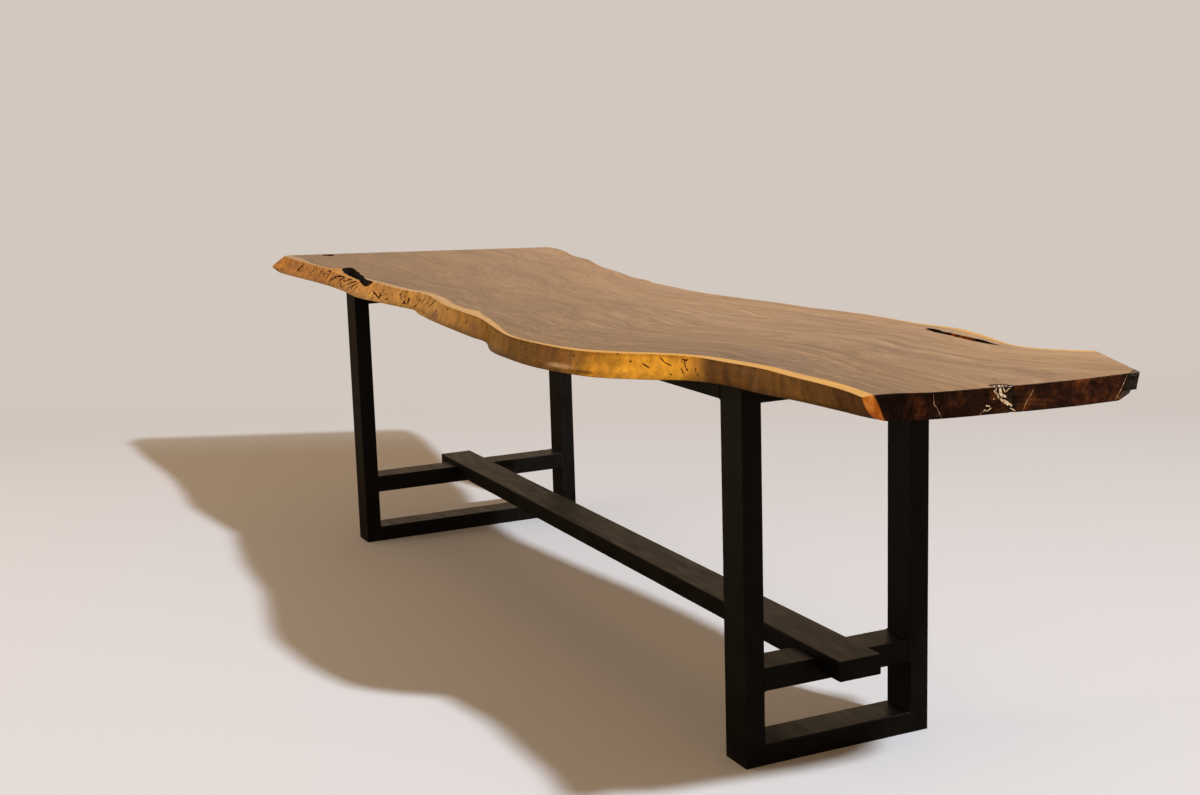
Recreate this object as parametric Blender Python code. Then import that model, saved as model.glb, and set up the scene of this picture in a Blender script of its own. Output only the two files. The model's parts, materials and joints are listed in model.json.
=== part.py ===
"""Live-edge bar table: one thick walnut slab on a welded base of rectangular steel tube.

Metres, +Z up, +X along the slab towards its narrow end, -Y towards its front edge. The origin is on
the floor, under the middle of the slab's box.
"""
import math

import bmesh
import bpy
from mathutils import Vector

# Clearance between pieces that touch, and how far a cutter runs past what it cuts
GAP = 0.0003
CUT_MARGIN = 0.010

# Slab: its length and width overall, its thickness, and how far its live edge bellies out
SLAB_LENGTH = 4.180
SLAB_WIDTH = 1.181
SLAB_THICKNESS = 0.056
EDGE_BULGE = 0.004

# Steel tube of the two end frames, lying or standing with its deep side along the table
TUBE_DEPTH = 0.100
TUBE_WIDTH = 0.054
TUBE_WALL = 0.004
TUBE_RADIUS = 0.0025
TUBE_INNER_RADIUS = 0.001

# End frames: closed mitred rectangles on one centre line
FRAME_HEIGHT = 0.942
TOP_RAIL_HEIGHT = 0.050
NEAR_FRAME_WIDTH = 0.531
FAR_FRAME_WIDTH = 0.854
FRAME_SPACING = 2.508
NEAR_OVERHANG = 0.635
FRAME_SHIFT = -0.019
MID_RAIL_BOTTOM = 0.1875
MID_RAIL_HEIGHT = 0.0585

# Square tubes under the slab, from frame to frame
LONG_RAIL_WIDTH = 0.050

# Stretcher, let into a notch in each mid rail
STRETCHER_WIDTH = 0.118
STRETCHER_HEIGHT = 0.051
STRETCHER_RISE = 0.0165
STRETCHER_NEAR_OVERHANG = 0.091
STRETCHER_FAR_OVERHANG = 0.078
CAP_THICKNESS = 0.004

# Bolts that hold the slab, screwed up through the rails into threaded sleeves in the wood
SLAB_BOLT_RADIUS = 0.005
SLAB_BOLT_HEAD_RADIUS = 0.0095
SLAB_BOLT_HEAD_HEIGHT = 0.0064
SLAB_BOLT_GRIP = 0.020
SLAB_BOLT_PLAY = 0.001
WASHER_RADIUS = 0.012
WASHER_THICKNESS = 0.0025
SLEEVE_WALL = 0.003
SLEEVE_LENGTH = 0.025
ACCESS_RADIUS = 0.014
CROSS_BOLT_INSET = 0.060
LONG_BOLT_INSET = 0.450

# Bolts that hold the stretcher, screwed up through each mid rail into rivet nuts
FOOT_BOLT_RADIUS = 0.004
FOOT_BOLT_HEAD_RADIUS = 0.0075
FOOT_BOLT_HEAD_HEIGHT = 0.0053
FOOT_BOLT_PLAY = 0.0005
FOOT_BOLT_SPACING = 0.060
NUT_WALL = 0.0015
NUT_FLANGE_RADIUS = 0.0075
NUT_FLANGE_THICKNESS = 0.0012
NUT_LENGTH = 0.016

# Filled knot in the near end, wide at the top and drawn out to a tail below
KNOT_WIDTH = 0.046
KNOT_REACH = 0.034
KNOT_TAIL_WIDTH = 0.014
KNOT_TAIL_REACH = 0.012
KNOT_DRIFT = 0.020
# The knot's shape, in shares of its width and its reach into the slab: two points on the end first
KNOT_SHAPE = ((-0.5, 0.0), (0.5, 0.0), (0.4, 0.6), (0.0, 1.0), (-0.4, 0.7))

# Filled corner at the near end's back tip
CORNER_ALONG_END = 0.031
CORNER_ALONG_CUT = 0.036
CORNER_SPREAD = 0.47
CORNER_DEPTH = 0.038
CORNER_TUCK = 0.010

# Natural openings in the slab's top
HOLLOW_DEPTH = 0.032
CRACK_DEPTH = 0.040

# Slab outline, in shares of its half length and half width: along, across, and how far the foot of
# the live edge stands out from its top, in shares of the thickness
FRONT_EDGE = (
    (-1.000, -0.690, 0.75), (-0.985, -0.746, 0.9), (-0.920, -0.756, 0.8), (-0.840, -0.760, 0.7),
    (-0.740, -0.761, 0.5), (-0.640, -0.759, 0.4), (-0.520, -0.761, 0.5), (-0.410, -0.765, 0.8),
    (-0.330, -0.762, 0.6), (-0.240, -0.755, 0.3), (-0.180, -0.726, 0.4), (-0.130, -0.732, 0.7),
    (-0.060, -0.772, 0.6), (0.010, -0.813, 0.4), (0.100, -0.834, 0.4), (0.165, -0.848, 0.4),
    (0.220, -0.882, 0.1), (0.300, -0.938, 0.4), (0.370, -0.973, 0.25), (0.450, -0.955, 0.4),
    (0.520, -0.905, 0.4), (0.565, -0.809, 0.8), (0.610, -0.665, 0.9), (0.645, -0.594, 0.2),
    (0.700, -0.557, -0.1), (0.760, -0.524, 0.1), (0.820, -0.527, -0.3), (0.890, -0.525, -0.5),
    (0.930, -0.536, -0.7), (0.960, -0.556, -1.15),
)
NEAR_TIP = (1.000, 0.536)
BACK_EDGE = (
    (0.870, 0.745, 0.0), (0.852, 0.692, 0.2), (0.828, 0.630, 0.3), (0.800, 0.594, 0.3),
    (0.772, 0.602, 0.2), (0.730, 0.645, 0.0), (0.690, 0.683, -0.1), (0.645, 0.712, -0.2),
    (0.610, 0.699, 0.1), (0.570, 0.674, 0.3), (0.510, 0.673, 0.2), (0.450, 0.662, 0.1),
    (0.395, 0.628, 0.3), (0.350, 0.598, 0.4), (0.290, 0.580, 0.3), (0.210, 0.538, 0.4),
    (0.140, 0.504, 0.5), (0.080, 0.492, 0.4), (0.000, 0.504, 0.3), (-0.055, 0.513, 0.4),
    (-0.100, 0.544, 0.2), (-0.160, 0.558, 0.4), (-0.250, 0.623, 0.5), (-0.340, 0.675, 0.3),
    (-0.420, 0.747, 0.2), (-0.490, 0.816, 0.4), (-0.580, 0.857, 0.5), (-0.660, 0.931, 0.2),
    (-0.720, 0.978, 0.0), (-0.760, 0.994, -0.1), (-0.787, 0.984, 0.0),
)
# Near end, seen from above: across, along
NEAR_END = (
    (-0.556, 0.960), (-0.492, 0.957), (-0.422, 0.960), (-0.314, 0.976), (-0.195, 0.983),
    (-0.056, 0.988), (0.083, 0.995), (0.261, 1.000), (0.536, 1.000),
)
KNOT_PLACE = -0.041
# Hollow behind the front edge's lip, which breaks out through the edge at its near end
HOLLOW_RIM = (
    (-0.662, -0.655), (-0.610, -0.705), (-0.520, -0.732), (-0.465, -0.749), (-0.462, -0.888),
    (-0.402, -0.888), (-0.392, -0.761), (-0.440, -0.744), (-0.510, -0.694), (-0.585, -0.642),
    (-0.642, -0.605), (-0.660, -0.621),
)
CRACK_RIM = (
    (0.618, 0.590), (0.642, 0.572), (0.670, 0.566), (0.702, 0.553), (0.734, 0.544), (0.779, 0.542),
    (0.755, 0.561), (0.719, 0.583), (0.686, 0.596), (0.656, 0.602), (0.630, 0.620),
)
# How the foot of the live edge flares, and the heights of the outlines in shares of the thickness
FOOT_CURVE = 2.5
RING_SHARES = (0.0, 0.12, 0.35, 0.70, 1.0)

# How finely curves are drawn
EDGE_STEPS = 3
END_STEPS = 12
FAR_STEPS = 6
CORNER_STEPS = 4
ROUND_SIDES = 20
HEX_SIDES = 6
BOLT_SIDES = 24

# Places that follow from the sizes above
HALF_LENGTH = SLAB_LENGTH / 2
HALF_WIDTH = SLAB_WIDTH / 2
SLAB_BOTTOM = FRAME_HEIGHT + GAP
SLAB_TOP = SLAB_BOTTOM + SLAB_THICKNESS
NEAR_FRAME_X = HALF_LENGTH - NEAR_OVERHANG - TUBE_DEPTH / 2
FAR_FRAME_X = NEAR_FRAME_X - FRAME_SPACING
TOP_RAIL_Z = FRAME_HEIGHT - TOP_RAIL_HEIGHT / 2
MID_RAIL_Z = MID_RAIL_BOTTOM + MID_RAIL_HEIGHT / 2
STRETCHER_TOP = MID_RAIL_BOTTOM + MID_RAIL_HEIGHT + STRETCHER_RISE
STRETCHER_BOTTOM = STRETCHER_TOP - STRETCHER_HEIGHT
LONG_RAIL_OFFSET = NEAR_FRAME_WIDTH / 2 - LONG_RAIL_WIDTH / 2
LONG_RAIL_Z = FRAME_HEIGHT - LONG_RAIL_WIDTH / 2
MITRE_GAP = GAP / math.sqrt(2)
FRAMES = (("near", NEAR_FRAME_X, NEAR_FRAME_WIDTH), ("far", FAR_FRAME_X, FAR_FRAME_WIDTH))
SIDES = (("front", -1), ("back", 1))


def clear_scene():
    """Remove every object that the file opens with."""
    for obj in list(bpy.data.objects):
        bpy.data.objects.remove(obj, do_unlink=True)


def make_material(name, colour, roughness, metallic):
    """Return a Principled material."""
    material = bpy.data.materials.new(name)
    material.use_nodes = True
    shader = material.node_tree.nodes["Principled BSDF"]
    shader.inputs["Base Color"].default_value = (*colour, 1.0)
    shader.inputs["Roughness"].default_value = roughness
    shader.inputs["Metallic"].default_value = metallic
    return material


def finish(name, bm, material=None):
    """Turn a bmesh into an object of the scene, with its faces pointing out."""
    bmesh.ops.recalc_face_normals(bm, faces=bm.faces)
    mesh = bpy.data.meshes.new(name)
    bm.to_mesh(mesh)
    bm.free()
    obj = bpy.data.objects.new(name, mesh)
    bpy.context.collection.objects.link(obj)
    if material:
        mesh.materials.append(material)
        mesh.shade_smooth()
        mesh.set_sharp_from_angle(angle=math.radians(30))
    return obj


def cut(obj, bm):
    """Take the bodies of a bmesh out of an object."""
    cutter = finish(obj.name + "_cutter", bm)
    cutter.hide_render = True
    cutter.display_type = "WIRE"
    boolean = obj.modifiers.new("cut", "BOOLEAN")
    boolean.operation = "DIFFERENCE"
    boolean.solver = "EXACT"
    boolean.object = cutter


def loft(bm, rings):
    """Add a closed body through rings of equally many points, with flat ends."""
    loops = []
    for ring in rings:
        loops.append([bm.verts.new(point) for point in ring])
    for low, high in zip(loops, loops[1:]):
        for i, vert in enumerate(low):
            j = (i + 1) % len(low)
            bm.faces.new((vert, low[j], high[j], high[i]))
    bm.faces.new(loops[0])
    bm.faces.new(loops[-1])


def prism(bm, outline, low, high):
    """Add an upright prism on an outline of (x, y) points."""
    loft(bm, [[(x, y, z) for x, y in outline] for z in (low, high)])


def turned(bm, centre, profile, sides):
    """Add a ring-shaped body: a closed (radius, z) profile turned about an upright axis."""
    rings = []
    for step in range(sides):
        angle = 2 * math.pi * step / sides
        ring = []
        for radius, z in profile:
            x = centre[0] + radius * math.cos(angle)
            y = centre[1] + radius * math.sin(angle)
            ring.append(bm.verts.new((x, y, z)))
        rings.append(ring)
    for i, ring in enumerate(rings):
        after = rings[(i + 1) % sides]
        for j, vert in enumerate(ring):
            k = (j + 1) % len(ring)
            bm.faces.new((vert, after[j], after[k], ring[k]))


def circle(centre, radius, sides):
    """Return the (x, y) points of a regular polygon."""
    angles = [2 * math.pi * step / sides for step in range(sides)]
    return [(centre[0] + radius * math.cos(a), centre[1] + radius * math.sin(a)) for a in angles]


def rounded_section(depth, width, radius):
    """Return a rectangle with round corners about the origin."""
    points = []
    for quarter, (sx, sy) in enumerate(((1, 1), (-1, 1), (-1, -1), (1, -1))):
        for step in range(CORNER_STEPS + 1):
            angle = math.pi / 2 * (quarter + step / CORNER_STEPS)
            p = sx * (depth / 2 - radius) + radius * math.cos(angle)
            q = sy * (width / 2 - radius) + radius * math.sin(angle)
            points.append((p, q))
    return points


def tube(name, material, depth, width, place, ends):
    """Make an open tube of the frame's wall and corner radius.

    place turns section coordinates and a distance along the tube into a point, and ends gives the
    tube's two distances at section coordinates, so that an end can be cut square or on a mitre.
    """
    outer = rounded_section(depth, width, TUBE_RADIUS)
    inner = rounded_section(depth - 2 * TUBE_WALL, width - 2 * TUBE_WALL, TUBE_INNER_RADIUS)
    bm = bmesh.new()
    loops = []
    for section in (outer, inner):
        for end in (0, 1):
            loops.append([bm.verts.new(place(p, q, ends(p, q)[end])) for p, q in section])
    outer_start, outer_end, inner_start, inner_end = loops
    for a, b in ((outer_start, outer_end), (outer_end, inner_end),
                 (inner_end, inner_start), (inner_start, outer_start)):
        for i, vert in enumerate(a):
            j = (i + 1) % len(a)
            bm.faces.new((vert, a[j], b[j], b[i]))
    return finish(name, bm, material)


def smooth(points):
    """Return a smooth curve through points that may have any number of values each."""
    samples = []
    for i in range(len(points) - 1):
        before = points[max(i - 1, 0)]
        after = points[min(i + 2, len(points) - 1)]
        for step in range(EDGE_STEPS):
            t = step / EDGE_STEPS
            sample = []
            for a, b, c, d in zip(before, points[i], points[i + 1], after):
                bend = (2 * a - 5 * b + 4 * c - d) * t + (3 * b - a - 3 * c + d) * t * t
                sample.append(b + 0.5 * t * (c - a + bend))
            samples.append(sample)
    samples.append(list(points[-1]))
    return samples


def near_end_x(y):
    """Return how far out the near end lies at a place across the slab."""
    v = y / HALF_WIDTH
    for (v0, u0), (v1, u1) in zip(NEAR_END, NEAR_END[1:]):
        if v <= v1:
            break
    return HALF_LENGTH * (u0 + (u1 - u0) * (v - v0) / (v1 - v0))


def live_edge(points, side, share):
    """Return a live edge at a share of the slab's thickness above its underside."""
    outline = []
    for u, v, lean in smooth(points):
        foot = lean * SLAB_THICKNESS * (1 - share) ** FOOT_CURVE
        bulge = EDGE_BULGE * 4 * share * (1 - share)
        outline.append((u * HALF_LENGTH, v * HALF_WIDTH + side * (foot + bulge)))
    return outline


def slab_ring(share):
    """Return the slab's outline at a share of its thickness above its underside."""
    front = live_edge(FRONT_EDGE, -1, share)
    back = live_edge(BACK_EDGE, 1, share)
    tip = (NEAR_TIP[0] * HALF_LENGTH, NEAR_TIP[1] * HALF_WIDTH)
    front_y = front[-1][1]
    end = []
    for step in range(1, END_STEPS):
        y = front_y + (tip[1] - front_y) * step / END_STEPS
        end.append((near_end_x(y), y))
    far = []
    for step in range(1, FAR_STEPS):
        t = step / FAR_STEPS
        far.append(tuple(a + (b - a) * t for a, b in zip(back[-1], front[0])))
    z = SLAB_BOTTOM + share * SLAB_THICKNESS
    return [(x, y, z) for x, y in front + end + [tip] + back + far]


def at_depth(points, share):
    """Lift an outline to a share of the slab's thickness below its top."""
    z = SLAB_TOP - share * SLAB_THICKNESS
    return [(x, y, z) for x, y in points]


def knot_outline(share, grow):
    """Return the filled knot's outline at a share of the thickness below the top.

    Its first two points lie on the near end, which is taken as straight across the knot.
    """
    width = KNOT_WIDTH + (KNOT_TAIL_WIDTH - KNOT_WIDTH) * share + 2 * grow
    reach = KNOT_REACH + (KNOT_TAIL_REACH - KNOT_REACH) * share + grow
    start = KNOT_PLACE * HALF_WIDTH
    slope = (near_end_x(start + KNOT_WIDTH) - near_end_x(start - KNOT_WIDTH)) / (2 * KNOT_WIDTH)
    outline = []
    for across, inward in KNOT_SHAPE:
        y = start + KNOT_DRIFT * share + across * width
        outline.append((near_end_x(start) + slope * (y - start) - inward * reach, y))
    return outline


def corner_outline(share, grow):
    """Return the filled corner's two points on the wood, and its tip, at a share below the top."""
    tip = Vector((NEAR_TIP[0] * HALF_LENGTH, NEAR_TIP[1] * HALF_WIDTH))
    cut_end = Vector((BACK_EDGE[0][0] * HALF_LENGTH, BACK_EDGE[0][1] * HALF_WIDTH))
    along_end = Vector((0, -1))
    along_cut = (cut_end - tip).normalized()
    spread = CORNER_SPREAD * share * SLAB_THICKNESS + grow
    on_end = tip + along_end * (CORNER_ALONG_END + spread)
    on_cut = tip + along_cut * (CORNER_ALONG_CUT + spread)
    return on_end, tip, on_cut


def shares(points):
    """Turn (along, across) shares of the slab's half sizes into metres."""
    return [(u * HALF_LENGTH, v * HALF_WIDTH) for u, v in points]


def make_slab(material):
    """Make the slab, with its natural openings and the holes for its threaded sleeves."""
    bm = bmesh.new()
    loft(bm, [slab_ring(share) for share in RING_SHARES])
    slab = finish("slab_top", bm, material)
    margin_share = CUT_MARGIN / SLAB_THICKNESS
    bm = bmesh.new()
    prism(bm, shares(HOLLOW_RIM), SLAB_TOP - HOLLOW_DEPTH, SLAB_TOP + CUT_MARGIN)
    prism(bm, shares(CRACK_RIM), SLAB_TOP - CRACK_DEPTH, SLAB_TOP + CUT_MARGIN)
    knot = []
    corner = []
    for share in (1 + margin_share, -margin_share):
        pocket = knot_outline(share, 2 * GAP)
        mouth = [(x + CUT_MARGIN, y) for x, y in pocket[:2]]
        knot.append(at_depth(pocket[:1] + mouth + pocket[1:], share))
        on_end, tip, on_cut = corner_outline(share, 2 * GAP)
        out = Vector((CUT_MARGIN, CUT_MARGIN))
        past_end = on_end + Vector((CUT_MARGIN, 0))
        corner.append(at_depth([on_end, past_end, tip + out, on_cut + out, on_cut], share))
    loft(bm, knot)
    loft(bm, corner)
    for x, y in slab_bolt_places():
        hole = circle((x, y), SLAB_BOLT_RADIUS + SLEEVE_WALL + 2 * GAP, ROUND_SIDES)
        prism(bm, hole, SLAB_BOTTOM - CUT_MARGIN, SLAB_BOTTOM + SLEEVE_LENGTH + 2 * GAP)
    cut(slab, bm)


def make_fills(material):
    """Make the cast fills of the near end's knot and of its back corner."""
    bm = bmesh.new()
    loft(bm, [at_depth(knot_outline(share, 0), share) for share in (1, 0)])
    finish("knot_fill", bm, material)
    bm = bmesh.new()
    rings = []
    for share in (CORNER_DEPTH / SLAB_THICKNESS, 0):
        on_end, tip, on_cut = corner_outline(share, 0)
        inward = ((on_end + on_cut) / 2 - tip).normalized()
        tucked = tip + inward * CORNER_TUCK * share
        rings.append(at_depth([on_end, tucked, on_cut], share))
    loft(bm, rings)
    finish("corner_fill", bm, material)


def make_frame(frame, x, width, material):
    """Make one end frame: two posts, a foot bar and a top rail on mitres, and a mid rail."""
    half = width / 2
    for side_name, side in SIDES:
        post_y = FRAME_SHIFT + side * (half - TUBE_WIDTH / 2)

        def post_place(p, q, t):
            return x + p, post_y + q, t

        def post_ends(p, q):
            inset = TUBE_WIDTH / 2 - side * q
            drop = inset * TOP_RAIL_HEIGHT / TUBE_WIDTH
            return inset + MITRE_GAP, FRAME_HEIGHT - drop - MITRE_GAP

        tube(f"{frame}_{side_name}_post", material, TUBE_DEPTH, TUBE_WIDTH, post_place, post_ends)

    for bar, height, z, up in (("foot_bar", TUBE_WIDTH, TUBE_WIDTH / 2, 1),
                               ("top_rail", TOP_RAIL_HEIGHT, TOP_RAIL_Z, -1)):

        def bar_place(p, q, t):
            return x + p, FRAME_SHIFT + t, z + q

        def bar_ends(p, q):
            reach = half - (height / 2 + up * q) * TUBE_WIDTH / height - MITRE_GAP
            return -reach, reach

        obj = tube(f"{frame}_{bar}", material, TUBE_DEPTH, height, bar_place, bar_ends)
        if bar == "top_rail":
            cut(obj, slab_bolt_cutter(cross_bolt_places(x, width), TOP_RAIL_HEIGHT))

    def rail_place(p, q, t):
        return x + p, FRAME_SHIFT + t, MID_RAIL_Z + q

    def rail_ends(p, q):
        reach = half - TUBE_WIDTH - GAP
        return -reach, reach

    rail = tube(f"{frame}_mid_rail", material, TUBE_DEPTH, MID_RAIL_HEIGHT, rail_place, rail_ends)
    bm = bmesh.new()
    notch_half = STRETCHER_WIDTH / 2 + GAP
    reach = TUBE_DEPTH / 2 + CUT_MARGIN
    notch = [(x + sx * reach, FRAME_SHIFT + sy * notch_half)
             for sx, sy in ((-1, -1), (1, -1), (1, 1), (-1, 1))]
    prism(bm, notch, STRETCHER_BOTTOM - GAP, STRETCHER_TOP + CUT_MARGIN)
    for place in foot_bolt_places(x):
        hole = circle(place, FOOT_BOLT_RADIUS + FOOT_BOLT_PLAY, ROUND_SIDES)
        prism(bm, hole, MID_RAIL_BOTTOM - CUT_MARGIN, MID_RAIL_BOTTOM + 2 * TUBE_WALL)
    cut(rail, bm)


def long_rail_span():
    """Return where the long rails start and end along the table."""
    start = FAR_FRAME_X + TUBE_DEPTH / 2 + GAP
    end = NEAR_FRAME_X - TUBE_DEPTH / 2 - GAP
    return start, end


def make_long_rails(material):
    """Make the two rails that run from frame to frame under the slab."""
    start, end = long_rail_span()
    for side_name, side in SIDES:
        y = FRAME_SHIFT + side * LONG_RAIL_OFFSET

        def place(p, q, t):
            return t, y + p, LONG_RAIL_Z + q

        def ends(p, q):
            return start, end

        rail = tube(f"{side_name}_long_rail", material, LONG_RAIL_WIDTH, LONG_RAIL_WIDTH, place, ends)
        cut(rail, slab_bolt_cutter(long_bolt_places(y), LONG_RAIL_WIDTH))


def make_stretcher(material):
    """Make the stretcher and the plates that close its ends."""
    start = FAR_FRAME_X - TUBE_DEPTH / 2 - STRETCHER_FAR_OVERHANG
    end = NEAR_FRAME_X + TUBE_DEPTH / 2 + STRETCHER_NEAR_OVERHANG
    middle = (STRETCHER_BOTTOM + STRETCHER_TOP) / 2

    def place(p, q, t):
        return t, FRAME_SHIFT + p, middle + q

    def ends(p, q):
        return start + CAP_THICKNESS + GAP, end - CAP_THICKNESS - GAP

    stretcher = tube("stretcher", material, STRETCHER_WIDTH, STRETCHER_HEIGHT, place, ends)
    bm = bmesh.new()
    for _, x, _ in FRAMES:
        for nut in foot_bolt_places(x):
            hole = circle(nut, FOOT_BOLT_RADIUS + NUT_WALL + 2 * GAP, ROUND_SIDES)
            prism(bm, hole, STRETCHER_BOTTOM - CUT_MARGIN, STRETCHER_BOTTOM + 2 * TUBE_WALL)
    cut(stretcher, bm)
    section = rounded_section(STRETCHER_WIDTH, STRETCHER_HEIGHT, TUBE_RADIUS)
    for name, low, high in (("far", start, start + CAP_THICKNESS), ("near", end - CAP_THICKNESS, end)):
        bm = bmesh.new()
        loft(bm, [[place(p, q, t) for p, q in section] for t in (low, high)])
        finish(f"stretcher_cap_{name}", bm, material)


def cross_bolt_places(x, width):
    """Return the slab bolts' places in one frame's top rail."""
    reach = width / 2 - TUBE_WIDTH - CROSS_BOLT_INSET
    return [(x, FRAME_SHIFT + side * reach) for _, side in SIDES]


def long_bolt_places(y):
    """Return the slab bolts' places in one long rail."""
    start, end = long_rail_span()
    return [(start + LONG_BOLT_INSET, y), (end - LONG_BOLT_INSET, y)]


def slab_bolt_places():
    """Return the places of all the slab's bolts."""
    places = []
    for _, x, width in FRAMES:
        places += cross_bolt_places(x, width)
    for _, side in SIDES:
        places += long_bolt_places(FRAME_SHIFT + side * LONG_RAIL_OFFSET)
    return places


def foot_bolt_places(x):
    """Return the stretcher bolts' places in one mid rail."""
    return [(x, FRAME_SHIFT + side * FOOT_BOLT_SPACING / 2) for _, side in SIDES]


def slab_bolt_cutter(places, rail_height):
    """Return bolt holes for a rail's top wall, with holes below for washer and spanner."""
    bm = bmesh.new()
    bottom = FRAME_HEIGHT - rail_height
    for place in places:
        hole = circle(place, SLAB_BOLT_RADIUS + SLAB_BOLT_PLAY, ROUND_SIDES)
        prism(bm, hole, FRAME_HEIGHT - 2 * TUBE_WALL, FRAME_HEIGHT + CUT_MARGIN)
        access = circle(place, ACCESS_RADIUS, ROUND_SIDES)
        prism(bm, access, bottom - CUT_MARGIN, bottom + 2 * TUBE_WALL)
    return bm


def make_bolt(name, place, seat, tip, sizes, material):
    """Make a bolt: a hexagon head below its seat, and a round shank up to its tip."""
    radius, head_radius, head_height = sizes
    head = []
    shank = []
    half_side = math.pi / HEX_SIDES
    for step in range(BOLT_SIDES):
        angle = 2 * math.pi * step / BOLT_SIDES
        off = (angle + half_side) % (2 * half_side) - half_side
        reach = head_radius * math.cos(half_side) / math.cos(off)
        turn = (math.cos(angle), math.sin(angle))
        head.append((place[0] + reach * turn[0], place[1] + reach * turn[1]))
        shank.append((place[0] + radius * turn[0], place[1] + radius * turn[1]))
    levels = ((head, seat - head_height), (head, seat), (shank, seat), (shank, tip))
    bm = bmesh.new()
    loft(bm, [[(x, y, z) for x, y in outline] for outline, z in levels])
    finish(name, bm, material)


def make_turned(name, place, profile, material):
    """Make a turned ring on an upright axis."""
    bm = bmesh.new()
    turned(bm, place, profile, ROUND_SIDES)
    finish(name, bm, material)


def make_slab_fasteners(material):
    """Make the slab's bolts, their washers inside the rails and their sleeves in the wood."""
    washer_top = FRAME_HEIGHT - TUBE_WALL - GAP
    washer_bottom = washer_top - WASHER_THICKNESS
    sizes = (SLAB_BOLT_RADIUS, SLAB_BOLT_HEAD_RADIUS, SLAB_BOLT_HEAD_HEIGHT)
    tip = SLAB_BOTTOM + SLAB_BOLT_GRIP
    bore = SLAB_BOLT_RADIUS + GAP
    outside = SLAB_BOLT_RADIUS + SLEEVE_WALL
    low = SLAB_BOTTOM + GAP
    high = low + SLEEVE_LENGTH
    washer = ((bore, washer_bottom), (WASHER_RADIUS, washer_bottom),
              (WASHER_RADIUS, washer_top), (bore, washer_top))
    sleeve = ((bore, low), (outside, low), (outside, high), (bore, high))
    for number, place in enumerate(slab_bolt_places(), 1):
        make_bolt(f"slab_bolt_{number}", place, washer_bottom - GAP, tip, sizes, material)
        make_turned(f"slab_washer_{number}", place, washer, material)
        make_turned(f"slab_sleeve_{number}", place, sleeve, material)


def make_stretcher_fasteners(material):
    """Make the stretcher's bolts and the rivet nuts in its underside."""
    sizes = (FOOT_BOLT_RADIUS, FOOT_BOLT_HEAD_RADIUS, FOOT_BOLT_HEAD_HEIGHT)
    seat = MID_RAIL_BOTTOM - GAP
    bore = FOOT_BOLT_RADIUS + GAP
    body = FOOT_BOLT_RADIUS + NUT_WALL
    high = STRETCHER_BOTTOM + NUT_LENGTH
    flange_top = STRETCHER_BOTTOM - GAP
    flange_bottom = flange_top - NUT_FLANGE_THICKNESS
    nut = ((bore, flange_bottom), (NUT_FLANGE_RADIUS, flange_bottom), (NUT_FLANGE_RADIUS, flange_top),
           (body, flange_top), (body, high), (bore, high))
    for frame, x, _ in FRAMES:
        for (side_name, _), place in zip(SIDES, foot_bolt_places(x)):
            make_bolt(f"stretcher_bolt_{frame}_{side_name}", place, seat, high, sizes, material)
            make_turned(f"stretcher_nut_{frame}_{side_name}", place, nut, material)


def main():
    """Build the table."""
    clear_scene()
    walnut = make_material("oiled_walnut", (0.30, 0.19, 0.11), 0.45, 0.0)
    resin = make_material("cast_resin", (0.10, 0.08, 0.06), 0.15, 0.0)
    steel = make_material("black_powder_coated_steel", (0.012, 0.011, 0.010), 0.45, 0.0)
    zinc = make_material("zinc_plated_steel", (0.55, 0.55, 0.56), 0.35, 1.0)
    make_slab(walnut)
    make_fills(resin)
    for frame, x, width in FRAMES:
        make_frame(frame, x, width, steel)
    make_long_rails(steel)
    make_stretcher(steel)
    make_slab_fasteners(zinc)
    make_stretcher_fasteners(zinc)


main()
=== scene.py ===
"""Live-edge bar table: the looks of its slab, base and fasteners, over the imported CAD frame.

Metres, +Z up, +X along the slab towards its narrow end, -Y towards its front edge.
"""

import json
import logging
import math
from dataclasses import dataclass, field
from enum import Enum
from typing import Any, Iterator, Sequence

import bmesh
import bpy
import numpy as np
from bpy.types import AreaLight, Material, Mesh, Node, NodeSocket, NodeTree, Object
from mathutils import Matrix, Vector, kdtree, noise

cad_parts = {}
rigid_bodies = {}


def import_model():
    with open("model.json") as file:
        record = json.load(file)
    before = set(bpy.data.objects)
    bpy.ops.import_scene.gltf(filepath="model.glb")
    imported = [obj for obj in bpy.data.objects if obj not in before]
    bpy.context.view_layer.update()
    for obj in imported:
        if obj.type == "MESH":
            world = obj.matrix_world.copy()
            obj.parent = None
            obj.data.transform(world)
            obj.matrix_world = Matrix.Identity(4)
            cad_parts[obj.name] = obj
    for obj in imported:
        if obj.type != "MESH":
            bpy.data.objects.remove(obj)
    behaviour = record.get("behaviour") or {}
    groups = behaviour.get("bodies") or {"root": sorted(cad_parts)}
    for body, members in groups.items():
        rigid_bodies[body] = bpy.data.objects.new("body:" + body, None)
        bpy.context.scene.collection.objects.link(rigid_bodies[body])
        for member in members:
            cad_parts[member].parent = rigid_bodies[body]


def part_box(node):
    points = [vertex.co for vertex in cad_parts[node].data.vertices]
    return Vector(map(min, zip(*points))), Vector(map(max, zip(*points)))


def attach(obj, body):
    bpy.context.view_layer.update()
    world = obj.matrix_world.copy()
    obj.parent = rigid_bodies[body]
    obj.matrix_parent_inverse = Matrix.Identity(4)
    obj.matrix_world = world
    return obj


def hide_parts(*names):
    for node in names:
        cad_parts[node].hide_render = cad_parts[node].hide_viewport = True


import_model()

LOG = logging.getLogger("bar_table")
BODY = "root"
SLAB_BOLTS = range(1, 9)
HALF_LENGTH = 2.090
# The log's pith lies below the slab: its place across and up, in metres
PITH = (-0.03, 0.86)
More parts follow.
